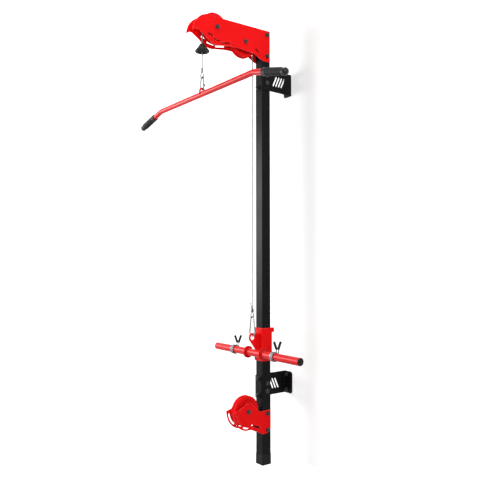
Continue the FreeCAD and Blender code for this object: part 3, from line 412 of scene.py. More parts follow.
class Rubbing(Group):
    """Fine streaks along one direction, as from drawing, brushing or sliding."""

    name = "Rubbing"
    inputs = {"Stretch": (Socket.VECTOR, (1.0, 1.0, 1.0)), "Scale": (Socket.VALUE, 100.0),
              "Cover": (Socket.VALUE, 0.5)}
    outputs = {"Streaks": Socket.VALUE, "Scuffs": Socket.VALUE}

    def wire(self, tree: Tree, given: Any) -> dict[str, bpy.types.NodeSocket]:
        """A stretched noise, and a patchy part of it.

        Args:
            tree: the group's tree.
            given: the group's input sockets, by name.

        Returns:
            A socket for each output.
        """
        place = tree.own_place()
        pulled = tree.add("ShaderNodeVectorMath", {"operation": "MULTIPLY"})
        tree.feed(pulled.inputs[0], place)
        tree.feed(pulled.inputs[1], given["Stretch"])
        streaks = tree.noise(pulled.outputs[0], given["Scale"], 4.0, 0.65)
        patches = tree.noise(place, 14.0, 3.0)
        above = tree.maths("GREATER_THAN", streaks, tree.maths("SUBTRACT", 0.85,
                           tree.maths("MULTIPLY", given["Cover"], patches)))
        return {"Streaks": streaks, "Scuffs": above}


class SettledDust(Group):
    """Pale dust that lies on faces that look up."""

    name = "Settled dust"
    inputs = {"Amount": (Socket.VALUE, 0.3)}
    outputs = {"Mask": Socket.VALUE}

    def wire(self, tree: Tree, given: Any) -> dict[str, bpy.types.NodeSocket]:
        """How far a face looks up, times a patchy noise.

        Args:
            tree: the group's tree.
            given: the group's input sockets, by name.

        Returns:
            A socket for each output.
        """
        normal = tree.add("ShaderNodeNewGeometry").outputs["Normal"]
        parts = tree.add("ShaderNodeSeparateXYZ", Vector=normal)
        level = tree.ramp(parts.outputs["Z"], 0.55, 1.0)
        patches = tree.ramp(tree.noise(tree.own_place(), 45.0, 5.0, 0.7), 0.35, 0.75)
        return {"Mask": tree.maths("MULTIPLY", tree.maths("MULTIPLY", level, patches),
                                   given["Amount"], True)}


@dataclass
class Effects:
    """The node groups that the finishes share."""

    grain: Group = field(default_factory=SkinGrain)
    drift: Group = field(default_factory=ToneDrift)
    edge_wear_and_highlight_group: Group = field(default_factory=EdgeWearAndPaintedHighlight)
    rubbing: Group = field(default_factory=Rubbing)
    dust: Group = field(default_factory=SettledDust)


# --------------------------------------------------------------------------
# Finishes
# --------------------------------------------------------------------------
@dataclass(frozen=True)
class Finish:
    """What every finish has: a slot, two tones, a gloss and a grain."""

    slot: Slot
    colour: Colour
    far_colour: Colour
    roughness: float = 0.4
    specular: float = 0.5
    grain_scale: float = 500.0
    grain_height: float = 0.02

    def build(self, effects: Effects) -> bpy.types.Material:
        """Makes the material.

        Args:
            effects: the shared node groups.

        Returns:
            The material, named for its slot.
        """
        material = bpy.data.materials.new(f"finish_{self.slot.value}")
        material.use_nodes = True
        material.node_tree.nodes.clear()
        tree = Tree(material.node_tree)
        shader = tree.add("ShaderNodeBsdfPrincipled")
        shader.inputs["Specular IOR Level"].default_value = self.specular
        self.dress(tree, shader, effects)
        output = tree.add("ShaderNodeOutputMaterial")
        tree.feed(output.inputs["Surface"], shader.outputs[0])
        material.diffuse_color = self.colour.linear()
        return material

    def dress(self, tree: Tree, shader: bpy.types.Node, effects: Effects) -> None:
        """Feeds the shader's sockets.

        Args:
            tree: the material's tree.
            shader: its Principled BSDF.
            effects: the shared node groups.
        """
        raise NotImplementedError

    def tones(self, tree: Tree, effects: Effects, scale: float) -> Any:
        """The drift between the finish's two tones."""
        return effects.drift.place(tree, Colour=self.colour.linear(),
                                   Far_Colour=self.far_colour.linear(), Scale=scale)

    def bump(self, tree: Tree, shader: bpy.types.Node, height: Any) -> None:
        """Raises the grain on the surface.

        Args:
            tree: the material's tree.
            shader: its Principled BSDF.
            height: the socket of the grain.
        """
        node = tree.add("ShaderNodeBump", Height=height, Strength=1.0,
                        Distance=self.grain_height * MM)
        tree.feed(shader.inputs["Normal"], node.outputs[0])


@dataclass(frozen=True)
class PowderCoat(Finish):
    """Baked powder paint on steel, with soft peel and a patchy paler band along its edges: a
    painted highlight on the red paint, rubbed paint on the black.
    """

    # The default pale red edge colour paints a highlight along the edges of red paint.
    edge_colour: Colour = Colour(255, 120, 110)
    edge_amount: float = 0.6
    edge_radius: float = 0.0012
    coat: float = 0.0
    scuffs: float = 0.0

    def dress(self, tree: Tree, shader: bpy.types.Node, effects: Effects) -> None:
        """Tone, paler edges (painted highlight on red, rubbed paint on black), dust, peel and
        gloss.

        Args:
            tree: the material's tree.
            shader: its Principled BSDF.
            effects: the shared node groups.
        """
        tones = self.tones(tree, effects, 5.0)
        grain = effects.grain.place(tree, Lump_Scale=self.grain_scale,
                                    Speck_Scale=self.grain_scale * 4, Speck_Share=0.25)
        edge_wear_and_highlight_mask = effects.edge_wear_and_highlight_group.place(tree, Radius=self.edge_radius, Amount=self.edge_amount,
                                  Breakup=70.0)["Mask"]
        rubbed = effects.rubbing.place(tree, Stretch=(0.12, 1.0, 1.0), Scale=420.0,
                                       Cover=self.scuffs)["Scuffs"]
        dust = effects.dust.place(tree, Amount=0.12)["Mask"]
        # Paler colour along the edge mask: on the red paints a painted highlight, on the black
        # ones rubbed paint.
        paint = tree.blend(edge_wear_and_highlight_mask, tones["Colour"], self.edge_colour.linear())
        paint = tree.blend(tree.maths("MULTIPLY", rubbed, 0.22), paint,
                           self.edge_colour.linear())
        paint = tree.blend(dust, paint, Colour(200, 192, 186).linear())
        tree.feed(shader.inputs["Base Color"], paint)
        gloss = tree.maths("ADD", self.roughness,
                           tree.maths("MULTIPLY", tones["Drift"], 0.07))
        gloss = tree.maths("ADD", gloss, tree.maths("MULTIPLY", edge_wear_and_highlight_mask, 0.12))
        gloss = tree.maths("ADD", gloss, tree.maths("MULTIPLY", dust, 0.3), True)
        tree.feed(shader.inputs["Roughness"], gloss)
        shader.inputs["Coat Weight"].default_value = self.coat
        shader.inputs["Coat Roughness"].default_value = 0.12
        self.bump(tree, shader, grain["Height"])


@dataclass(frozen=True)
class Moulded(Finish):
    """Moulded plastic or rubber, with a fine grain, dust and dulled edges."""

    dust: float = 0.25
    edge_colour: Colour = Colour(70, 70, 72)
    edge_amount: float = 0.5

    def dress(self, tree: Tree, shader: bpy.types.Node, effects: Effects) -> None:
        """Tone, grain, dust in the hollows and rubbed ribs.

        Args:
            tree: the material's tree.
            shader: its Principled BSDF.
            effects: the shared node groups.
        """
        tones = self.tones(tree, effects, 16.0)
        grain = effects.grain.place(tree, Lump_Scale=self.grain_scale,
                                    Speck_Scale=self.grain_scale * 3, Speck_Share=0.5)
        edge_wear_and_highlight_mask = effects.edge_wear_and_highlight_group.place(tree, Radius=0.0012, Amount=self.edge_amount,
                                  Breakup=160.0)["Mask"]
        dust = effects.dust.place(tree, Amount=self.dust)["Mask"]
        base = tree.blend(edge_wear_and_highlight_mask, tones["Colour"], self.edge_colour.linear())
        base = tree.blend(dust, base, Colour(120, 118, 114).linear())
        tree.feed(shader.inputs["Base Color"], base)
        gloss = tree.maths("ADD", self.roughness, tree.maths("MULTIPLY", tones["Drift"], 0.1))
        gloss = tree.maths("ADD", gloss, tree.maths("MULTIPLY", dust, 0.3), True)
        tree.feed(shader.inputs["Roughness"], gloss)
        self.bump(tree, shader, grain["Height"])


@dataclass(frozen=True)
class Plated(Finish):
    """Bare, zinc-plated or chromed steel, with drawn streaks and dull patches."""

    stretch: tuple[float, float, float] = (1.0, 1.0, 0.1)
    tarnish: float = 0.15

    def dress(self, tree: Tree, shader: bpy.types.Node, effects: Effects) -> None:
        """Metal tone, streaks in the gloss and small scuffs.

        Args:
            tree: the material's tree.
            shader: its Principled BSDF.
            effects: the shared node groups.
        """
        tones = self.tones(tree, effects, 30.0)
        rubbing = effects.rubbing.place(tree, Stretch=self.stretch, Scale=900.0, Cover=0.5)
        edge_wear_and_highlight_mask = effects.edge_wear_and_highlight_group.place(tree, Radius=0.0006, Amount=0.5, Breakup=220.0)["Mask"]
        base = tree.blend(tree.maths("MULTIPLY", rubbing["Streaks"], self.tarnish),
                          tones["Colour"], self.far_colour.linear())
        base = tree.blend(edge_wear_and_highlight_mask, base, Colour(225, 225, 228).linear())
        tree.feed(shader.inputs["Base Color"], base)
        shader.inputs["Metallic"].default_value = 1.0
        gloss = tree.maths("ADD", self.roughness,
                           tree.maths("MULTIPLY", rubbing["Streaks"], 0.14))
        gloss = tree.maths("ADD", gloss, tree.maths("MULTIPLY", tones["Drift"], 0.1), True)
        tree.feed(shader.inputs["Roughness"], gloss)
        self.bump(tree, shader, rubbing["Streaks"])


def all_finishes() -> list[Finish]:
    """The finish of each slot.

    Returns:
        One finish for each slot of the record.
    """
    black = Colour(16, 16, 17)
    return [
        # The red plates' pale edge colour, at full amount and a wide radius, paints a highlight
        # along their cut edges.
        PowderCoat(Slot.RED_PLATE, Colour(236, 15, 17), Colour(228, 12, 15), 0.3, 0.06,
                   420.0, 0.02, edge_colour=Colour(255, 176, 168), edge_amount=1.0,
                   edge_radius=0.0024),
        PowderCoat(Slot.RED_TUBE, Colour(208, 16, 20), Colour(198, 13, 16), 0.3, 0.15, 420.0,
                   0.02, scuffs=0.35),
        Moulded(Slot.RED_WHEEL, Colour(234, 18, 20), Colour(224, 15, 17), 0.42, 0.08, 900.0,
                0.03, dust=0.1, edge_colour=Colour(235, 80, 76)),
        PowderCoat(Slot.POST_BLACK, Colour(19, 19, 20), Colour(15, 15, 16), 0.34, 0.06,
                   520.0, 0.03, edge_colour=Colour(90, 90, 92), edge_amount=0.35),
        Moulded(Slot.PLUG_PLASTIC, Colour(20, 20, 21), black, 0.45, 0.12, 900.0, 0.05),
        Moulded(Slot.LINER_PLASTIC, Colour(30, 30, 31), Colour(24, 24, 25), 0.45, 0.35,
                900.0, 0.04),
        PowderCoat(Slot.BOLT_BLACK, Colour(40, 40, 43), Colour(30, 30, 33), 0.34, 0.3,
                   1400.0, 0.02, edge_colour=Colour(165, 163, 160), edge_amount=0.9,
                   edge_radius=0.0009),
        Moulded(Slot.CAP_PLASTIC, Colour(18, 18, 19), Colour(14, 14, 15), 0.28, 0.2, 1100.0,
                0.02),
        Plated(Slot.BEARING_STEEL, Colour(176, 177, 180), Colour(130, 130, 135), 0.22,
               grain_height=0.004),
        Plated(Slot.CABLE_STEEL, Colour(132, 133, 137), Colour(84, 85, 89), 0.34,
               grain_height=0.004),
        Plated(Slot.ZINC, Colour(142, 143, 147), Colour(104, 105, 110), 0.32,
               grain_height=0.006),
        Plated(Slot.CHROME_HOOK, Colour(158, 159, 163), Colour(98, 99, 103), 0.2,
               grain_height=0.003),
        Moulded(Slot.RUBBER_BLACK, Colour(21, 22, 22), Colour(16, 17, 17), 0.55, 0.14, 700.0,
                0.08, dust=0.2),
        Moulded(Slot.GRIP_RUBBER, Colour(20, 20, 21), Colour(15, 15, 16), 0.45, 0.2, 1000.0,
                0.06, dust=0.2),
        Moulded(Slot.CAP_GLOSS, Colour(16, 16, 17), Colour(13, 13, 14), 0.22, 0.22, 1200.0,
                0.02, dust=0.15),
    ]


# --------------------------------------------------------------------------
# Shapes
# --------------------------------------------------------------------------
def aim(place: Vector, direction: Vector | Axis) -> Matrix:
    """A matrix that stands a shape's own Z axis along a direction at a place."""
    toward = Vector(direction.value) if isinstance(direction, Axis) else direction
    return Matrix.Translation(place) @ toward.to_track_quat("Z", "Y").to_matrix().to_4x4()


def lathe(shape: bmesh.types.BMesh, profile: Profile, place: Matrix, soften: float = 0.0,
          steps: int = 64) -> None:
    """Turns a closed or axis-to-axis profile about its own Z axis and adds it to a shape.

    Args:
        shape: what the turned solid is added to.
        profile: (out, along) pairs, from one end of the section to the other.
        place: where the solid goes.
        soften: radius that the profile's inner corners are rounded to.
        steps: faces round the axis.
    """
    part = bmesh.new()
    points = [part.verts.new((out, 0.0, along)) for out, along in profile]
    pairs = list(zip(points, points[1:]))
    if profile[0][0] > 0 and profile[-1][0] > 0:
        pairs.append((points[-1], points[0]))
    for pair in pairs:
        part.edges.new(pair)
    if soften:
        corners = [point for point in points if len(point.link_edges) == 2]
        bmesh.ops.bevel(part, geom=corners, offset=soften, segments=3, profile=0.5,
                        affect="VERTICES", material=-1)
    bmesh.ops.spin(part, geom=part.verts[:] + part.edges[:], cent=(0, 0, 0), axis=(0, 0, 1),
                   angle=FULL_TURN, steps=steps, use_merge=True)
    bmesh.ops.remove_doubles(part, verts=part.verts, dist=1e-6)
    bmesh.ops.recalc_face_normals(part, faces=part.faces)
    bmesh.ops.transform(part, matrix=place, verts=part.verts)
    join(shape, part)


def join(shape: bmesh.types.BMesh, part: bmesh.types.BMesh) -> None:
    """Adds a part to a shape and frees the part.

    Args:
        shape: what the part is added to.
        part: the part.
    """
    mesh = bpy.data.meshes.new("part")
    part.to_mesh(mesh)
    part.free()
    shape.from_mesh(mesh)
    bpy.data.meshes.remove(mesh)


def hexagon(shape: bmesh.types.BMesh, across: float, height: float, place: Matrix,
            dished: bool = False, both_ends: bool = False) -> None:
    """A hexagon with the turned chamfer of a real bolt head or nut.

    Args:
        shape: what the hexagon is added to.
        across: distance over flats.
        height: its thickness along its own Z axis.
        place: where its lower face goes.
        dished: sink a shallow recess in the top.
        both_ends: chamfer the lower face too.
    """
    part = bmesh.new()
    ring = bmesh.ops.create_circle(part, cap_ends=True, segments=48, radius=1.0)["verts"]
    flat, sixth, slope = across / 2, FULL_TURN / 6, math.tan(math.radians(28))
    round_part = 0.96 * flat

    def lift(point: bmesh.types.BMVert, sign: float, level: float) -> None:
        """Cuts the corner of a rim by the cone of the chamfer."""
        out = math.hypot(point.co.x, point.co.y)
        point.co.z = level - sign * max(0.0, out - round_part) * slope
    for point in ring:
        angle = math.atan2(point.co.y, point.co.x)
        reach = flat / math.cos((angle + sixth / 2) % sixth - sixth / 2)
        point.co = (reach * math.cos(angle), reach * math.sin(angle), 0.0)
    base = part.faces[:]
    raised = bmesh.ops.extrude_face_region(part, geom=base)["geom"]
    top_ring = [item for item in raised if isinstance(item, bmesh.types.BMVert)]
    top_face = [item for item in raised if isinstance(item, bmesh.types.BMFace)]
    for point in top_ring:
        lift(point, 1.0, height)
    narrow(part, top_face, round_part, height)
    if dished:
        face = [max(part.faces, key=lambda item: item.calc_center_median().z)]
        narrow(part, face, 0.72 * flat, height)
        face = [max(part.faces, key=lambda item: item.calc_center_median().z)]
        narrow(part, face, 0.66 * flat, height - 0.0006)
    if both_ends:
        for point in ring:
            lift(point, -1.0, 0.0)
        bottom = [min(part.faces, key=lambda item: item.calc_center_median().z)]
        narrow(part, bottom, round_part, 0.0)
    bmesh.ops.recalc_face_normals(part, faces=part.faces)
    bmesh.ops.transform(part, matrix=place, verts=part.verts)
    join(shape, part)


def narrow(part: bmesh.types.BMesh, faces: list[bmesh.types.BMFace], radius: float,
           level: float) -> None:
    """Extrudes an end face to a circle of a radius at a level, and drops the old face.

    Args:
        part: the solid that ends in the faces.
        faces: the end face.
        radius: of the circle.
        level: where the circle lies along Z.
    """
    made = bmesh.ops.extrude_face_region(part, geom=faces)["geom"]
    for point in (item for item in made if isinstance(item, bmesh.types.BMVert)):
        out = math.hypot(point.co.x, point.co.y) or 1.0
        share = min(1.0, radius / out)
        point.co = (point.co.x * share, point.co.y * share, level)
    stale = [face for face in faces if face.is_valid]
    bmesh.ops.delete(part, geom=stale, context="FACES_ONLY")


def washer(shape: bmesh.types.BMesh, inner: float, outer: float, thick: float,
           place: Matrix) -> None:
    """A flat washer with rolled edges."""
    lathe(shape, [(inner, 0.0), (outer, 0.0), (outer, thick), (inner, thick)], place,
          0.25 * thick, 48)


def thread(shape: bmesh.types.BMesh, radius: float, length: float, pitch: float,
           place: Matrix) -> None:
    """A threaded rod end with a turned point.

    Args:
        shape: what the rod is added to.
        radius: over the crests.
        length: of the threaded end.
        pitch: from crest to crest.
        place: where its root goes.
    """
    profile: list[tuple[float, float]] = [(0.0, 0.0)]
    root = radius - 0.55 * pitch
    for number in range(int(length / pitch)):
        foot = number * pitch
        profile += [(root, foot + 0.1 * pitch), (radius, foot + 0.5 * pitch),
                    (radius, foot + 0.6 * pitch)]
    profile += [(root, length - 0.3 * pitch), (root - 0.4 * pitch, length), (0.0, length)]
    lathe(shape, profile, place, 0.0, 32)


def weld_bead(shape: bmesh.types.BMesh, points: Sequence[Vector], radius: float) -> None:
    """A run of weld: flattened drops that lap one another along the points.

    Args:
        shape: what the weld is added to.
        points: the line that the weld follows.
        radius: of one drop.
    """
    for before, here, after in zip(points, points[1:], points[2:]):
        run = (after - before).normalized()
        matrix = aim(here, run) @ Matrix.Diagonal((1.0, 1.0, 0.75, 1.0))
        bmesh.ops.create_uvsphere(shape, u_segments=10, v_segments=6, radius=radius,
                                  matrix=matrix)


@dataclass(frozen=True)
class Knot:
    """A point of a smooth line with its handles."""

    place: Vector
    before: Vector
    after: Vector


def tangent_knots(corners: Sequence[Vector], bend: float) -> list[Knot]:
    """The knots of straight runs joined by round bends.

    Args:
        corners: the runs' meeting points, with both ends.
        bend: radius of the bends.

    Returns:
        One knot for each end and two for each bend.
    """
    knots = [Knot(corners[0], corners[0], corners[0].lerp(corners[1], 0.3))]
    for before, corner, after in zip(corners, corners[1:], corners[2:]):
        back, ahead = (before - corner).normalized(), (after - corner).normalized()
        half = back.angle(ahead) / 2
        setback = bend / math.tan(half)
        handle = 4 / 3 * math.tan((math.pi - 2 * half) / 4) * bend
        start, end = corner + back * setback, corner + ahead * setback
        knots.append(Knot(start, start + back * 0.3 * setback, start - back * handle))
        knots.append(Knot(end, end - ahead * handle, end + ahead * 0.3 * setback))
    knots.append(Knot(corners[-1], corners[-1].lerp(corners[-2], 0.3), corners[-1]))
    return knots


def sweep(knots: Sequence[Knot], section: Sequence[tuple[float, float]], steps: int,
          lay: float = 0.0) -> bmesh.types.BMesh:
    """Draws a section along a smooth line.

    Args:
        knots: the line.
        section: the closed outline that is drawn along it.
        steps: divisions from knot to knot.
        lay: length in which the section turns once, or 0 for no turn.

    Returns:
        The swept solid.
    """
    outline = bpy.data.curves.new("section", "CURVE")
    ring = outline.splines.new("POLY")
    ring.points.add(len(section) - 1)
    for point, (across, up) in zip(ring.points, section):
        point.co = (across, up, 0.0, 1.0)
    ring.use_cyclic_u = True
    outline_object = bpy.data.objects.new("section", outline)
    line = bpy.data.curves.new("line", "CURVE")
    line.dimensions = "3D"
    line.twist_mode = "MINIMUM"
    line.bevel_mode = "OBJECT"
    line.bevel_object = outline_object
    line.use_fill_caps = True
    line.resolution_u = steps
    spline = line.splines.new("BEZIER")
    spline.bezier_points.add(len(knots) - 1)
    travelled = 0.0
    for index, (point, knot) in enumerate(zip(spline.bezier_points, knots)):
        if index:
            travelled += (knot.place - knots[index - 1].place).length
        point.handle_left_type = point.handle_right_type = "FREE"
        point.co, point.handle_left, point.handle_right = knot.place, knot.before, knot.after
        point.tilt = travelled / lay * FULL_TURN if lay else 0.0
    holder = bpy.data.objects.new("line", line)
    bpy.context.scene.collection.objects.link(holder)
    bpy.context.view_layer.update()
    mesh = bpy.data.meshes.new_from_object(
        holder.evaluated_get(bpy.context.evaluated_depsgraph_get()))
    shape = bmesh.new()
    shape.from_mesh(mesh)
    bpy.data.objects.remove(holder)
    bpy.data.objects.remove(outline_object)
    bpy.data.meshes.remove(mesh)
    bmesh.ops.remove_doubles(shape, verts=shape.verts, dist=1e-6)
    bmesh.ops.recalc_face_normals(shape, faces=shape.faces)
    return shape


def round_section(radius: float, sides: int) -> list[tuple[float, float]]:
    """A plain round outline."""
    return [(radius * math.cos(FULL_TURN * side / sides),
             radius * math.sin(FULL_TURN * side / sides)) for side in range(sides)]


def stranded_section(radius: float, strands: int, depth: float) -> list[tuple[float, float]]:
    """The outline of a laid cable: one bulge for each strand.

    Args:
        radius: over the strands.
        strands: how many there are.
        depth: of the grooves between them.

    Returns:
        The outline's points.
    """
    outline = []
    sides = strands * 4
    for side in range(sides):
        angle = FULL_TURN * side / sides
        out = radius - depth * abs(math.cos(strands * angle / 2))
        outline.append((out * math.cos(angle), out * math.sin(angle)))
    return outline


# --------------------------------------------------------------------------
# Workshop
# --------------------------------------------------------------------------
class Workshop:
    """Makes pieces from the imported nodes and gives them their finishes."""

    def __init__(self, frame: dict[str, Any]) -> None:
        """Starts on the loaded frame.
        """
        self.nodes: dict[str, bpy.types.Object] = frame["nodes"]
        self.slots = {name: node.data.materials[0].name for name, node in self.nodes.items()}
        effects = Effects()
        self.finishes = {finish.slot.value: finish.build(effects)
                         for finish in all_finishes()}

    def body(self, name: str) -> str:
        """The body that a node rides on."""
        return self.nodes[name]["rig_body"]

    def keep(self, *names: str) -> None:
        """Shows nodes as they are, in their finish.

        Args:
            names: the nodes.
        """
        for name in names:
            node = self.nodes[name]
            for slot in node.material_slots:
                slot.material = self.finishes[self.slots[name]]
            LOG.info("%s keeps its shape", name)

    def copy(self, name: str) -> bmesh.types.BMesh:
        """A node's mesh with its loose triangles joined.

        Args:
            name: the node.

        Returns:
            The joined mesh.
        """
        shape = bmesh.new()
        shape.from_mesh(self.nodes[name].data)
        bmesh.ops.remove_doubles(shape, verts=shape.verts, dist=2e-6)
        return shape

    def solids(self, name: str) -> list[Box]:
        """The box of each solid of a node, from the lowest up.

        Args:
            name: the node.

        Returns:
            The lowest and highest corners of each solid.
        """
        shape = self.copy(name)
        waiting, boxes = set(shape.verts), []
        while waiting:
            group, front = set(), [next(iter(waiting))]
            while front:
                point = front.pop()
                if point in group:
                    continue
                group.add(point)
                front += [edge.other_vert(point) for edge in point.link_edges]
            waiting -= group
            places = [point.co for point in group]
            boxes.append((Vector([min(place[axis] for place in places) for axis in range(3)]),
                          Vector([max(place[axis] for place in places) for axis in range(3)])))
        shape.free()
        return sorted(boxes, key=lambda box: tuple(round(part, 5) for part in
                                                   (box[0].z, box[0].x, box[0].y)))

    def piece(self, name: str, shape: bmesh.types.BMesh, *nodes: str, like: str = "",
              rides: bool = True) -> bpy.types.Object:
        """Makes an object of a shape and puts it in the place of nodes.

        Args:
            name: the piece's name.
            shape: its mesh, which is freed.
            nodes: the nodes that it stands for.
            like: the node whose body and slot an added piece shares.
            rides: whether it rides on that node's body.

        Returns:
            The new object.
        """
        source = like or nodes[0]
        slot = self.slots[source]
        mesh = bpy.data.meshes.new(name)
        for face in shape.faces:
            face.smooth = True
        shape.to_mesh(mesh)
        shape.free()
        mesh.set_sharp_from_angle(angle=math.radians(38))
        mesh.materials.append(self.finishes[slot])
        made = bpy.data.objects.new(name, mesh)
        bpy.context.scene.collection.objects.link(made)
        if rides:
            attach(made, self.body(source))
        if nodes:
            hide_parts(*nodes)
        LOG.info("%s: %d faces", name, len(mesh.polygons))
        return made

    def refine(self, name: str, width: float = 0.0006, sharp: float = 30.0) -> None:
        """Replaces a node with a copy whose sharp edges are rounded.

        Args:
            name: the node.
            width: how far each rounding reaches from its edge.
            sharp: the least angle, in degrees, of an edge that is rounded.
        """
        shape = self.copy(name)
        bmesh.ops.dissolve_limit(shape, angle_limit=math.radians(0.6), verts=shape.verts,
                                 edges=shape.edges, delimit={"NORMAL"})
        limit = math.radians(sharp)
        edges = [edge for edge in shape.edges
                 if len(edge.link_faces) == 2 and edge.calc_face_angle(0.0) > limit]
        bmesh.ops.bevel(shape, geom=edges, offset=width, offset_type="OFFSET", segments=2,
                        profile=0.5, affect="EDGES", clamp_overlap=False, material=-1)
        bmesh.ops.remove_doubles(shape, verts=shape.verts, dist=2e-6)
        made = self.piece(f"{name}_rounded", shape, name)
        weighted = made.modifiers.new("weighted_normals", "WEIGHTED_NORMAL")
        weighted.keep_sharp = True


# --------------------------------------------------------------------------
# Sub-assemblies
# --------------------------------------------------------------------------
@dataclass
class PostAndBrackets:
    """The black post with its plug, its shoe and its two wall brackets."""

    edge: float = 0.0007

    def build(self, shop: Workshop) -> None:
        """Rounds the edges of the post and of what is bolted to it.

        Args:
            shop: makes and dresses the pieces.
        """
        for name in ("post", "top_plug", "foot_cap", "lower_wall_bracket",
                     "upper_wall_bracket"):
            shop.refine(name, self.edge)


@dataclass
class PulleyArms:
    """The two pairs of red side plates."""

    edge: float = 0.0005

    def build(self, shop: Workshop) -> None:
        """Rounds the laser-cut edges of each plate.

        Args:
            shop: makes and dresses the pieces.
        """
        for level in ("upper", "lower"):
            for side in ("right", "left"):
                shop.refine(f"{level}_arm_plate_{side}", self.edge)


@dataclass
class Pulleys:
    """Moulded wheels on their bearings."""

    bore: float = 0.016
    hub: float = 0.024
    web: float = 0.006
    rim_inside: float = 0.053
    rim: float = 0.003
    track: float = 0.063
    nest: float = 0.0028
    ribs: int = 8
    soften: float = 0.0007

    def build(self, shop: Workshop) -> None:
        """Turns each wheel and adds its ribs.

        Args:
            shop: makes and dresses the pieces.
        """
        for name in ("front", "rear", "lower"):
            node = f"{name}_pulley"
            low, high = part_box(node)
            shape = bmesh.new()
            place = aim((low + high) / 2, Axis.ALONG_X)
            lathe(shape, self.section((high.x - low.x) / 2, (high.z - low.z) / 2), place,
                  self.soften, 96)
            self.add_ribs(shape, (high.x - low.x) / 2, place)
            shop.piece(f"{name}_wheel_moulding", shape, node)
            shop.keep(f"{name}_bearing")

    def section(self, wide: float, radius: float) -> list[tuple[float, float]]:
        """The half section of a wheel.

        Args:
            wide: half the wheel's width.
            radius: its outer radius.

        Returns:
            (out, along) pairs of a closed outline.
        """
        half = [(self.bore, wide), (self.hub, wide), (self.hub, self.web),
                (self.rim_inside, self.web), (self.rim_inside, wide), (radius, wide),
                (radius, wide - self.rim), (self.track + 0.0006, self.nest),
                (self.track - 0.6 * self.nest, 0.75 * self.nest),
                (self.track - 0.92 * self.nest, 0.3 * self.nest)]
        return half + [(out, -along) for out, along in reversed(half)]

    def add_ribs(self, shape: bmesh.types.BMesh, wide: float, place: Matrix) -> None:
        """Adds the ribs that stand in the recess on both faces.

        Args:
            shape: the wheel.
            wide: half the wheel's width.
            place: where the wheel stands.
        """
        reach = self.rim_inside - self.hub + 0.002
        middle = (self.rim_inside + self.hub) / 2
        for number in range(self.ribs):
            part = bmesh.new()
            turn = Matrix.Rotation(FULL_TURN * number / self.ribs, 4, "Z")
            bmesh.ops.create_cube(part, size=1.0)
            bmesh.ops.scale(part, vec=(reach, 0.0028, 2 * (wide - 0.0022)), verts=part.verts)
            upright = [edge for edge in part.edges
                       if abs(edge.verts[0].co.x - edge.verts[1].co.x) > 0.5 * reach]
            bmesh.ops.bevel(part, geom=upright, offset=0.0007, segments=2, profile=0.5,
                            affect="EDGES", material=-1)
            bmesh.ops.translate(part, vec=(middle, 0, 0), verts=part.verts)
            bmesh.ops.transform(part, matrix=place @ turn, verts=part.verts)
            join(shape, part)


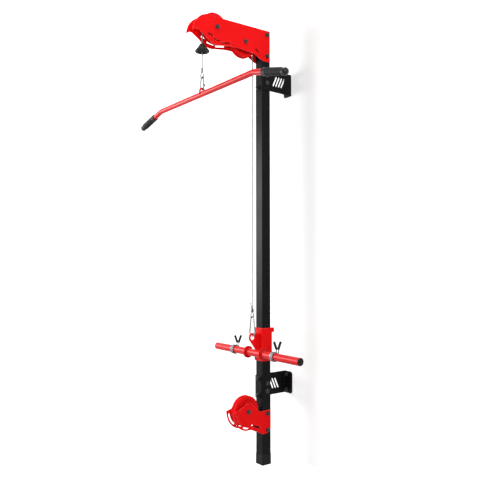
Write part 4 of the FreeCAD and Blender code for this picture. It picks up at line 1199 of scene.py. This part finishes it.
@dataclass
class Fasteners:
    """Every bolt, nut, screw, washer and axle."""

    bolt: float = 0.005
    axle: float = 0.006
    across: float = 0.017
    head: float = 0.0065
    nut: float = 0.008
    washer_out: float = 0.011
    washer_thick: float = 0.002
    pitch: float = 0.0015
    cap_skirt: float = 0.0125
    threaded: float = 0.016
    axle_share: float = 1.12
    cap_height: float = 0.015

    def build(self, shop: Workshop) -> None:
        """Makes the fasteners of the post, the wall and the axles.

        Args:
            shop: makes and dresses the pieces.
        """
        leftward, to_wall = Vector((-1, 0, 0)), Vector((0, 1, 0))
        for name in ("bracket_side_bolts", "arm_post_bolts"):
            self.row(shop, name, leftward)
        self.nuts(shop, "arm_post_nuts", True)
        self.nuts(shop, "bracket_nuts", True)
        self.nuts(shop, "axle_nuts", False)
        for name in ("upper_wall_screws", "lower_wall_screws"):
            self.row(shop, name, to_wall)
        for name in ("front_axle", "rear_axle", "lower_axle"):
            self.row(shop, name, leftward, True)
        self.cap_bolts(shop)
        shop.keep("pulley_spacers", "clamp_screws")

    def bolt_shape(self, shape: bmesh.types.BMesh, head_side: Vector, inward: Vector,
                   length: float, radius: float, across: float, washered: bool) -> None:
        """One bolt.

        Args:
            shape: what it is added to.
            head_side: the middle of the head's outer face.
            inward: the direction from the head to the point.
            length: from the head's outer face to the point.
            radius: of the shank.
            across: over the head's flats.
            washered: whether a washer lies under the head.
        """
        under = head_side + inward * self.head
        hexagon(shape, across, self.head, aim(under, -inward), True)
        if washered:
            washer(shape, radius, self.washer_out, self.washer_thick, aim(under, inward))
        grip = length - self.head - self.threaded
        lathe(shape, [(0.0, 0.0), (radius, 0.0), (radius, grip), (0.0, grip)],
              aim(under, inward), 0.0, 32)
        thread(shape, radius, self.threaded, self.pitch, aim(under + inward * grip, inward))

    def row(self, shop: Workshop, name: str, inward: Vector, axle: bool = False) -> None:
        """Equal bolts that point one way; an axle is thicker and has no washer.

        Args:
            shop: makes and dresses the pieces.
            name: the node of the bolts.
            inward: the direction from a head to its point.
            axle: whether the bolts are axles.
        """
        shape = bmesh.new()
        radius = self.axle if axle else self.bolt
        across = self.axle_share * self.across if axle else self.across
        for low, high in shop.solids(name):
            middle, half = (low + high) / 2, (high - low) / 2
            reach = abs(half.dot(inward))
            self.bolt_shape(shape, middle - inward * reach, inward, 2 * reach, radius,
                            across, not axle)
        shop.piece(f"{name}_turned", shape, name)

    def nuts(self, shop: Workshop, name: str, washered: bool) -> None:
        """Nuts with a plastic locking ring; the washer lies on the post's side.

        Args:
            shop: makes and dresses the pieces.
            name: the node of the nuts.
            washered: whether a washer lies under each.
        """
        shape = bmesh.new()
        across = self.across if washered else self.axle_share * self.across
        radius = self.bolt if washered else self.axle
        for low, high in shop.solids(name):
            middle = (low + high) / 2
            if high.x - low.x < high.y - low.y:
                outward, seat = Vector((-1, 0, 0)), Vector((high.x, middle.y, middle.z))
            else:
                outward, seat = Vector((0, 1, 0)), Vector((middle.x, low.y, middle.z))
            if washered:
                washer(shape, radius, self.washer_out, self.washer_thick, aim(seat, outward))
                seat = seat + outward * self.washer_thick
            body = 0.8 * self.nut
            hexagon(shape, across, body, aim(seat, outward), False, True)
            lathe(shape, [(0.92 * radius, 0.0), (0.44 * across, 0.0),
                          (0.44 * across, 0.12 * self.nut), (0.36 * across, 0.2 * self.nut),
                          (0.92 * radius, 0.2 * self.nut)],
                  aim(seat + outward * body, outward), 0.0003, 40)
        shop.piece(f"{name}_turned", shape, name)

    def cap_bolts(self, shop: Workshop) -> None:
        """Bolts through the brackets' laps, under domed plastic caps.

        Args:
            shop: makes and dresses the pieces.
        """
        shape = bmesh.new()
        for low, high in shop.solids("front_cap_bolts"):
            middle = (low + high) / 2
            front = Vector((middle.x, low.y, middle.z))
            toward = Vector((0, -1, 0))
            seat = front - toward * self.cap_height
            lathe(shape, [(0.0, 0.0), (self.cap_skirt, 0.0),
                          (self.cap_skirt, self.washer_thick),
                          (0.88 * self.cap_skirt, 1.3 * self.washer_thick), (0.0, 0.0027)],
                  aim(seat, toward), 0.0006, 48)
            hexagon(shape, 1.62 * self.cap_skirt, 0.0085, aim(seat, toward))
            lathe(shape, [(0.0, 0.008), (0.0086, 0.008), (0.0084, 0.0105), (0.0066, 0.0133),
                          (0.0036, 0.0146), (0.0, self.cap_height)],
                  aim(seat, toward), 0.0005, 48)
            grip = high.y - seat.y
            thread(shape, self.bolt, grip, self.pitch, aim(seat, Vector((0, 1, 0))))
        shop.piece("front_cap_bolts_domed", shape, "front_cap_bolts")


@dataclass
class Cable:
    """The steel cable, its fittings and the rubber stop."""

    radius: float = 0.0025
    track: float = 0.063
    strands: int = 6
    groove: float = 0.0004
    lay: float = 0.03
    crimp: float = 0.0007

    def build(self, shop: Workshop) -> None:
        """Lays the cable over the wheels and hangs both runs.

        Args:
            shop: makes and dresses the pieces.
        """
        self.over_wheels(shop)
        self.run(shop, "cable_front_run", "line_end")
        self.run(shop, "cable_load_run", "carriage")
        self.ferrule(shop)
        self.stopper(shop)
        shop.keep("line_eye", "load_eye", "cable_tail")
        shop.refine("cable_clamp", 0.0012)

    def section(self) -> list[tuple[float, float]]:
        """The cable's outline."""
        return stranded_section(self.radius, self.strands, self.groove)

    def over_wheels(self, shop: Workshop) -> None:
        """The length that bends over both top wheels.

        Args:
            shop: makes and dresses the pieces.
        """
        centres = {}
        for name in ("front", "rear"):
            low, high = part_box(f"{name}_pulley")
            centres[name] = (low + high) / 2
        front, rear = centres["front"], centres["rear"]
        run = (front - rear).normalized()
        up = Vector((0.0, -run.z, run.y))
        if up.z < 0:
            up = -up
        back, out = Vector((0, 1, 0)), Vector((0, -1, 0))

        def handle(first: Vector, second: Vector) -> float:
            """How far a handle reaches for a round bend between two directions."""
            return 4 / 3 * math.tan(first.angle(second) / 4) * self.track
        rear_arm, front_arm = handle(back, up), handle(up, out)
        rise, fall = Vector((0, 0, 1)), Vector((0, 0, -1))
        start, crest = rear + back * self.track, rear + up * self.track
        brow, end = front + up * self.track, front + out * self.track
        knots = [Knot(start, start - rise * 0.001, start + rise * rear_arm),
                 Knot(crest, crest - run * rear_arm, crest + run * 0.05),
                 Knot(brow, brow - run * 0.05, brow + run * front_arm),
                 Knot(end, end - fall * front_arm, end + fall * 0.001)]
        shape = sweep(knots, self.section(), 90, self.lay)
        shop.piece("cable_laid_over_wheels", shape, "cable_over_pulleys")

    def run(self, shop: Workshop, name: str, moving: str) -> None:
        """A hanging run, laid straight from its top to its foot.

        Args:
            shop: makes and dresses the pieces.
            name: the node of the run.
            moving: the body that its lower end rides on; not used.
        """
        low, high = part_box(name)
        middle = (low + high) / 2
        top = Vector((middle.x, middle.y, high.z))
        foot = Vector((middle.x, middle.y, low.z))
        steps = min(1000, int((high.z - low.z) / self.lay * 20))
        shape = sweep([Knot(top, top, top.lerp(foot, 1 / 3)),
                       Knot(foot, foot.lerp(top, 1 / 3), foot)],
                      self.section(), steps, self.lay)
        made = shop.piece(f"{name}_laid", shape, name, rides=False)
        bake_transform(made)

    def ferrule(self, shop: Workshop) -> None:
        """The pressed sleeve that closes the front eye.

        Args:
            shop: makes and dresses the pieces.
        """
        low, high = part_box("line_ferrule")
        middle = (low + high) / 2
        out, tall = (high.x - low.x) / 2, high.z - low.z
        waist = out - self.crimp
        profile = [(0.0, 0.0), (0.8 * out, 0.0), (out, 0.06 * tall)]
        for number in range(3):
            foot = (0.14 + 0.26 * number) * tall
            profile += [(out, foot), (waist, foot + 0.03 * tall),
                        (waist, foot + 0.17 * tall), (out, foot + 0.2 * tall)]
        profile += [(out, 0.94 * tall), (0.8 * out, tall), (0.0, tall)]
        shape = bmesh.new()
        lathe(shape, profile, aim(Vector((middle.x, middle.y, low.z)), Axis.UP), 0.0003, 48)
        shop.piece("line_ferrule_pressed", shape, "line_ferrule")

    def stopper(self, shop: Workshop) -> None:
        """The rubber cone that meets the arm.

        Args:
            shop: makes and dresses the pieces.
        """
        low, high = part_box("cable_stop")
        middle = (low + high) / 2
        out, tall = (high.x - low.x) / 2, high.z - low.z
        bore = self.radius + 0.0003
        profile = [(bore, 0.38 * tall), (0.22 * out, 0.38 * tall), (0.5 * out, 0.2 * tall),
                   (0.76 * out, 0.0), (0.95 * out, 0.0), (out, 0.05 * tall),
                   (out, 0.13 * tall), (0.97 * out, 0.19 * tall), (0.9 * out, 0.26 * tall),
                   (0.72 * out, 0.45 * tall), (0.54 * out, 0.66 * tall),
                   (0.42 * out, 0.84 * tall), (0.36 * out, 0.93 * tall),
                   (0.335 * out, 0.975 * tall), (0.27 * out, tall), (bore, tall)]
        shape = bmesh.new()
        lathe(shape, profile, aim(Vector((middle.x, middle.y, low.z)), Axis.UP), 0.0008, 96)
        shop.piece("cable_stop_cone", shape, "cable_stop")


@dataclass
class SnapHooks:
    """Both spring hooks and their gates."""

    def build(self, shop: Workshop) -> None:
        """Gives the bent wire of each hook its finish."""
        shop.keep("bar_hook", "bar_hook_gate", "load_hook", "load_hook_gate")


@dataclass
class LatBar:
    """The bent bar with its eye, ribbed grips and ball caps."""

    radius: float = 0.0125
    wall: float = 0.002
    bend_x: float = 0.371
    end_x: float = 0.558
    drop: float = 0.048
    bend: float = 0.09
    grip: float = 0.132
    grip_radius: float = 0.0165
    rib: float = 0.0092
    groove: float = 0.0034
    bead: float = 0.0016

    def build(self, shop: Workshop) -> None:
        """Bends the tube and fits its ends.

        Args:
            shop: makes and dresses the pieces.
        """
        low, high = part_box("lat_bar_tube")
        centre = Vector(((low.x + high.x) / 2, (low.y + high.y) / 2, high.z - self.radius))
        ends = {side: centre + Vector((side * self.end_x, 0, -self.drop)) for side in (-1, 1)}
        elbows = {side: centre + Vector((side * self.bend_x, 0, 0)) for side in (-1, 1)}
        knots = tangent_knots([ends[-1], elbows[-1], elbows[1], ends[1]], self.bend)
        shop.piece("lat_bar_bent_tube", sweep(knots, round_section(self.radius, 48), 24),
                   "lat_bar_tube")
        shop.keep("bar_eye")
        self.grips(shop, ends, elbows)
        self.caps(shop, ends, elbows)
        self.eye_weld(shop, centre)

    def grips(self, shop: Workshop, ends: dict[int, Vector],
              elbows: dict[int, Vector]) -> None:
        """The ribbed rubber sleeves.

        Args:
            shop: makes and dresses the pieces.
            ends: the tube's ends, by side.
            elbows: where its runs meet, by side.
        """
        shape = bmesh.new()
        count = int(self.grip / self.rib)
        step = self.grip / count
        inner = self.radius - 0.0002
        for side in (-1, 1):
            profile = [(inner, 0.0), (self.grip_radius - 0.0012, 0.0)]
            for number in range(count):
                foot = number * step
                if 2 <= number < count - 2:
                    profile += [(self.grip_radius - self.groove, foot),
                                (self.grip_radius - self.groove, foot + 0.3 * step),
                                (self.grip_radius, foot + 0.48 * step),
                                (self.grip_radius, foot + 0.82 * step)]
            profile += [(self.grip_radius - 0.0006, self.grip - 1.7 * step),
                        (self.grip_radius, self.grip - 1.2 * step),
                        (self.grip_radius, self.grip - 0.2 * step),
                        (self.grip_radius - 0.001, self.grip), (inner, self.grip)]
            inward = (elbows[side] - ends[side]).normalized()
            lathe(shape, profile, aim(ends[side], inward), 0.0003, 48)
        shop.piece("bar_grips_ribbed", shape, "bar_grips")

    def caps(self, shop: Workshop, ends: dict[int, Vector],
             elbows: dict[int, Vector]) -> None:
        """The round caps past the grips.

        Args:
            shop: makes and dresses the pieces.
            ends: the tube's ends, by side.
            elbows: where its runs meet, by side.
        """
        shape = bmesh.new()
        reach = 0.0129
        for side in (-1, 1):
            outward = (ends[side] - elbows[side]).normalized()
            ball = self.grip_radius - 0.0011
            sink = ball - reach
            profile = [(0.0, -0.012), (self.radius - self.wall, -0.012),
                       (self.radius - self.wall, 0.0)]
            start = math.acos(min(1.0, sink / ball)) if sink > 0 else math.pi / 2
            count = 12
            for number in range(count + 1):
                angle = start * (1 - number / count)
                profile.append((ball * math.sin(angle), ball * math.cos(angle) - sink))
            lathe(shape, profile, aim(ends[side], outward), 0.0, 48)
        shop.piece("bar_end_caps_round", shape, "bar_end_caps")

    def eye_weld(self, shop: Workshop, centre: Vector) -> None:
        """The weld round each leg of the eye, where it meets the tube.

        Args:
            shop: makes and dresses the pieces.
            centre: the middle of the tube.
        """
        low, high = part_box("bar_eye")
        wire = (high.x - low.x) / 2
        shape = bmesh.new()
        for sign in (-1, 1):
            middle = Vector((centre.x, (low.y + high.y) / 2, 0))
            middle.y += sign * ((high.y - low.y) / 2 - wire)
            points = []
            for number in range(20):
                angle = FULL_TURN * number / 17
                spot = middle + Vector((math.cos(angle), math.sin(angle), 0)) * (wire + 0.0006)
                inside = self.radius ** 2 - (spot.y - centre.y) ** 2
                spot.z = centre.z + math.sqrt(max(0.0, inside)) if inside > 0 else centre.z
                points.append(spot)
            weld_bead(shape, points, self.bead)
        shop.piece("bar_eye_weld", shape, like="lat_bar_tube")


@dataclass
class Carriage:
    """The sliding sleeve with its plate rod, discs and lifting plate."""

    edge: float = 0.0006
    bead: float = 0.0022

    def build(self, shop: Workshop) -> None:
        """Rounds the parts and lays the welds.

        Args:
            shop: makes and dresses the pieces.
        """
        shop.refine("carriage_sleeve", self.edge)
        shop.refine("lifting_fin", self.edge)
        shop.refine("weight_rod", self.edge)
        shop.refine("stop_discs", 0.0012)
        shop.refine("rod_end_plugs", 0.001)
        shop.keep("glide_liners")
        self.welds(shop)

    def welds(self, shop: Workshop) -> None:
        """Welds round the rod at the discs, along the sleeve and up the lifting plate.

        Args:
            shop: makes and dresses the pieces.
        """
        shape = bmesh.new()
        rod_low, rod_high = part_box("weight_rod")
        axis = (rod_low + rod_high) / 2
        radius = (rod_high.z - rod_low.z) / 2 + 0.0004
        for low, high in shop.solids("stop_discs"):
            for face in (low.x, high.x):
                count = 46
                points = [Vector((face, axis.y + radius * math.cos(FULL_TURN * turn / count),
                                  axis.z + radius * math.sin(FULL_TURN * turn / count)))
                          for turn in range(count + 2)]
                weld_bead(shape, points, self.bead)
        low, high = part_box("lifting_fin")
        sleeve_low, sleeve_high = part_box("carriage_sleeve")
        for side in (low.x, high.x):
            count = 22
            foot, top = low.z + 0.004, high.z - 0.008
            points = [Vector((side, sleeve_low.y, foot + (top - foot) * step / count))
                      for step in range(count + 1)]
            weld_bead(shape, points, self.bead)
        for sign in (-1, 1):
            count = 17
            left, right = sleeve_low.x + 0.005, sleeve_high.x - 0.005
            points = [Vector((left + (right - left) * step / count, sleeve_low.y - 0.0012,
                              axis.z + sign * 0.0062)) for step in range(count + 1)]
            weld_bead(shape, points, self.bead)
        shop.piece("carriage_welds", shape, like="weight_rod")


@dataclass
class Collars:
    """The spring collars that hold the plates, with dipped sleeves on their handles."""

    swell: float = 0.0016
    rounding: float = 0.0012

    def build(self, shop: Workshop) -> None:
        """Gives the wire its finish and makes the sleeves.

        Args:
            shop: makes and dresses the pieces.
        """
        for side in ("left", "right"):
            shop.keep(f"{side}_collar_spring", f"{side}_collar_lever")
            for part in ("collar_grip", "lever_grip"):
                self.sleeve(shop, f"{side}_{part}")

    def sleeve(self, shop: Workshop, name: str) -> None:
        """A soft sleeve: the node, a little fuller and with rounded rims.

        Args:
            shop: makes and dresses the pieces.
            name: the node of the sleeve.
        """
        shape = shop.copy(name)
        bmesh.ops.dissolve_limit(shape, angle_limit=math.radians(1), verts=shape.verts,
                                 edges=shape.edges)
        shape.normal_update()
        for point in shape.verts:
            point.co += point.normal * self.swell
        rims = [edge for edge in shape.edges
                if edge.is_manifold and edge.calc_face_angle(0.0) > math.radians(50)]
        bmesh.ops.bevel(shape, geom=rims, offset=self.rounding, offset_type="OFFSET",
                        segments=3, profile=0.5, affect="EDGES", material=-1,
                        clamp_overlap=True)
        shop.piece(f"{name}_dipped", shape, name)


# --------------------------------------------------------------------------
# Studio
# --------------------------------------------------------------------------
@dataclass(frozen=True)
class Softbox:
    """One large soft lamp."""

    name: str
    place: tuple[float, float, float]
    target: tuple[float, float, float]
    size: float
    power: float

    def hang(self) -> None:
        """Makes the lamp and points it."""
        lamp = bpy.data.lights.new(self.name, "AREA")
        lamp.shape = "SQUARE"
        lamp.size = self.size
        lamp.energy = self.power
        made = bpy.data.objects.new(self.name, lamp)
        made.location = self.place
        toward = Vector(self.target) - Vector(self.place)
        made.rotation_euler = toward.to_track_quat("-Z", "Y").to_euler()
        bpy.context.scene.collection.objects.link(made)


@dataclass
class Studio:
    """The pale floor and wall, the lamps, the world and the camera."""

    camera_place: tuple[float, float, float] = (2.1196, -1.7453, 0.9410)
    camera_turn: tuple[float, float, float] = (92.405, 0.0, 52.846)
    lens: float = 42.85
    wall_gap: float = 0.0002
    floor_size: float = 40.0
    paint: float = 0.5
    world_light: float = 0.35
    # Where the wall's painted shade lies: a band round shade_x across, from shade_foot up to
    # shade_top.
    shade_foot: float = 0.1
    shade_x: float = 0.11
    shade_near: float = 0.04
    shade_far: float = 0.34
    shade_top: float = 1.75

    def build(self) -> None:
        """Makes everything round the object."""
        self.camera()
        self.world()
        self.ground("studio_floor", Matrix.Identity(4), 0.8, (0.8, 0.8))
        wall_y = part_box("upper_wall_bracket")[1].y + self.wall_gap
        upright = Matrix.Translation((0, wall_y, 0)) @ Matrix.Rotation(
            math.radians(90), 4, "X")
        # Its lower glow beside the post paints shade on the wall there.
        self.ground("studio_wall", upright, 0.9, (0.57, 0.33))
        middle = (0.0, -0.1, 1.0)
        for lamp in (Softbox("key_lamp", (-3.0, -2.5, 1.5), middle, 1.8, 150.0),
                     Softbox("side_lamp", (3.2, -1.6, 2.0), middle, 2.4, 70.0),
                     Softbox("top_lamp", (0.6, -1.4, 3.9), middle, 1.8, 45.0)):
            lamp.hang()
        bpy.context.scene.view_settings.view_transform = "Standard"

    def camera(self) -> None:
        """The camera, level with the middle of the post."""
        data = bpy.data.cameras.new("camera")
        data.lens = self.lens
        made = bpy.data.objects.new("camera", data)
        made.location = self.camera_place
        made.rotation_euler = [math.radians(part) for part in self.camera_turn]
        bpy.context.scene.collection.objects.link(made)
        bpy.context.scene.camera = made

    def world(self) -> None:
        """White to the eye and in reflections, softer as a light."""
        world = bpy.data.worlds.new("studio_world")
        world.use_nodes = True
        world.node_tree.nodes.clear()
        tree = Tree(world.node_tree)
        seen = self.seen(tree)
        white = tree.add("ShaderNodeBackground", Color=(1, 1, 1, 1), Strength=1.0)
        soft = tree.add("ShaderNodeBackground", Color=(1, 1, 1, 1),
                        Strength=self.world_light)
        mixed = tree.add("ShaderNodeMixShader")
        tree.feed(mixed.inputs[0], seen)
        tree.feed(mixed.inputs[1], soft.outputs[0])
        tree.feed(mixed.inputs[2], white.outputs[0])
        output = tree.add("ShaderNodeOutputWorld")
        tree.feed(output.inputs["Surface"], mixed.outputs[0])
        bpy.context.scene.world = world

    @staticmethod
    def seen(tree: Tree) -> bpy.types.NodeSocket:
        """1 for a ray that the eye follows: straight, mirrored or through glass.

        Args:
            tree: the tree of a world or a material.

        Returns:
            The mask's socket.
        """
        path = tree.add("ShaderNodeLightPath")
        mirrored = tree.maths("MAXIMUM", path.outputs["Is Glossy Ray"],
                              path.outputs["Is Transmission Ray"])
        return tree.maths("MAXIMUM", path.outputs["Is Camera Ray"], mirrored)

    def ground(self, name: str, place: Matrix, glow: float,
               beside: tuple[float, float]) -> None:
        """A pale plane that keeps the object's shadow and is clear from behind.

        Args:
            name: of the plane.
            place: how it stands.
            glow: how much it adds for the eye, so that it is white where it is lit.
            beside: the same just beside the post, at its foot and at its top; lower than glow,
                it paints shade on the plane there, deeper towards the top.
        """
        shape = bmesh.new()
        bmesh.ops.create_grid(shape, x_segments=1, y_segments=1, size=self.floor_size / 2)
        bmesh.ops.transform(shape, matrix=place, verts=shape.verts)
        mesh = bpy.data.meshes.new(name)
        shape.to_mesh(mesh)
        shape.free()
        material = bpy.data.materials.new(f"{name}_paint")
        material.use_nodes = True
        material.node_tree.nodes.clear()
        tree = Tree(material.node_tree)
        matt = tree.add("ShaderNodeBsdfDiffuse", Color=(self.paint, self.paint, self.paint, 1))
        spot = tree.add("ShaderNodeSeparateXYZ", Vector=tree.own_place()).outputs
        # Painted shade: the glow drops from glow to beside on a band round shade_x, lower
        # towards the top.
        aside = tree.maths("ABSOLUTE", tree.maths("SUBTRACT", spot["X"], self.shade_x))
        off = tree.ramp(aside, self.shade_near, self.shade_far)
        low = tree.ramp(spot["Z"], self.shade_foot, self.shade_top, *beside)
        level = tree.maths("ADD", tree.maths("MULTIPLY", off, glow),
                           tree.maths("MULTIPLY", tree.maths("SUBTRACT", 1.0, off), low))
        glowing = tree.add("ShaderNodeEmission", Color=(1, 1, 1, 1),
                           Strength=tree.maths("MULTIPLY", self.seen(tree), level))
        added = tree.add("ShaderNodeAddShader")
        tree.feed(added.inputs[0], matt.outputs[0])
        tree.feed(added.inputs[1], glowing.outputs[0])
        clear = tree.add("ShaderNodeBsdfTransparent")
        sided = tree.add("ShaderNodeMixShader")
        tree.feed(sided.inputs[0], tree.add("ShaderNodeNewGeometry").outputs["Backfacing"])
        tree.feed(sided.inputs[1], added.outputs[0])
        tree.feed(sided.inputs[2], clear.outputs[0])
        output = tree.add("ShaderNodeOutputMaterial")
        tree.feed(output.inputs["Surface"], sided.outputs[0])
        mesh.materials.append(material)
        made = bpy.data.objects.new(name, mesh)
        bpy.context.scene.collection.objects.link(made)


def corners(box: Iterable[Vector]) -> list[list[float]]:
    """A box as plain lists of numbers."""
    return [list(corner) for corner in box]


def main() -> None:
    """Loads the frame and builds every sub-assembly."""
    logging.basicConfig(level=logging.INFO, format="%(name)s %(message)s")
    for thing in list(bpy.data.objects):
        bpy.data.objects.remove(thing)
    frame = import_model()
    Studio().build()
    shop = Workshop(frame)
    for assembly in (PostAndBrackets(), PulleyArms(), Pulleys(), Fasteners(), Cable(),
                     SnapHooks(), LatBar(), Carriage(), Collars()):
        LOG.info("-- %s", type(assembly).__name__)
        assembly.build(shop)


if __name__ == "__main__":
    main()
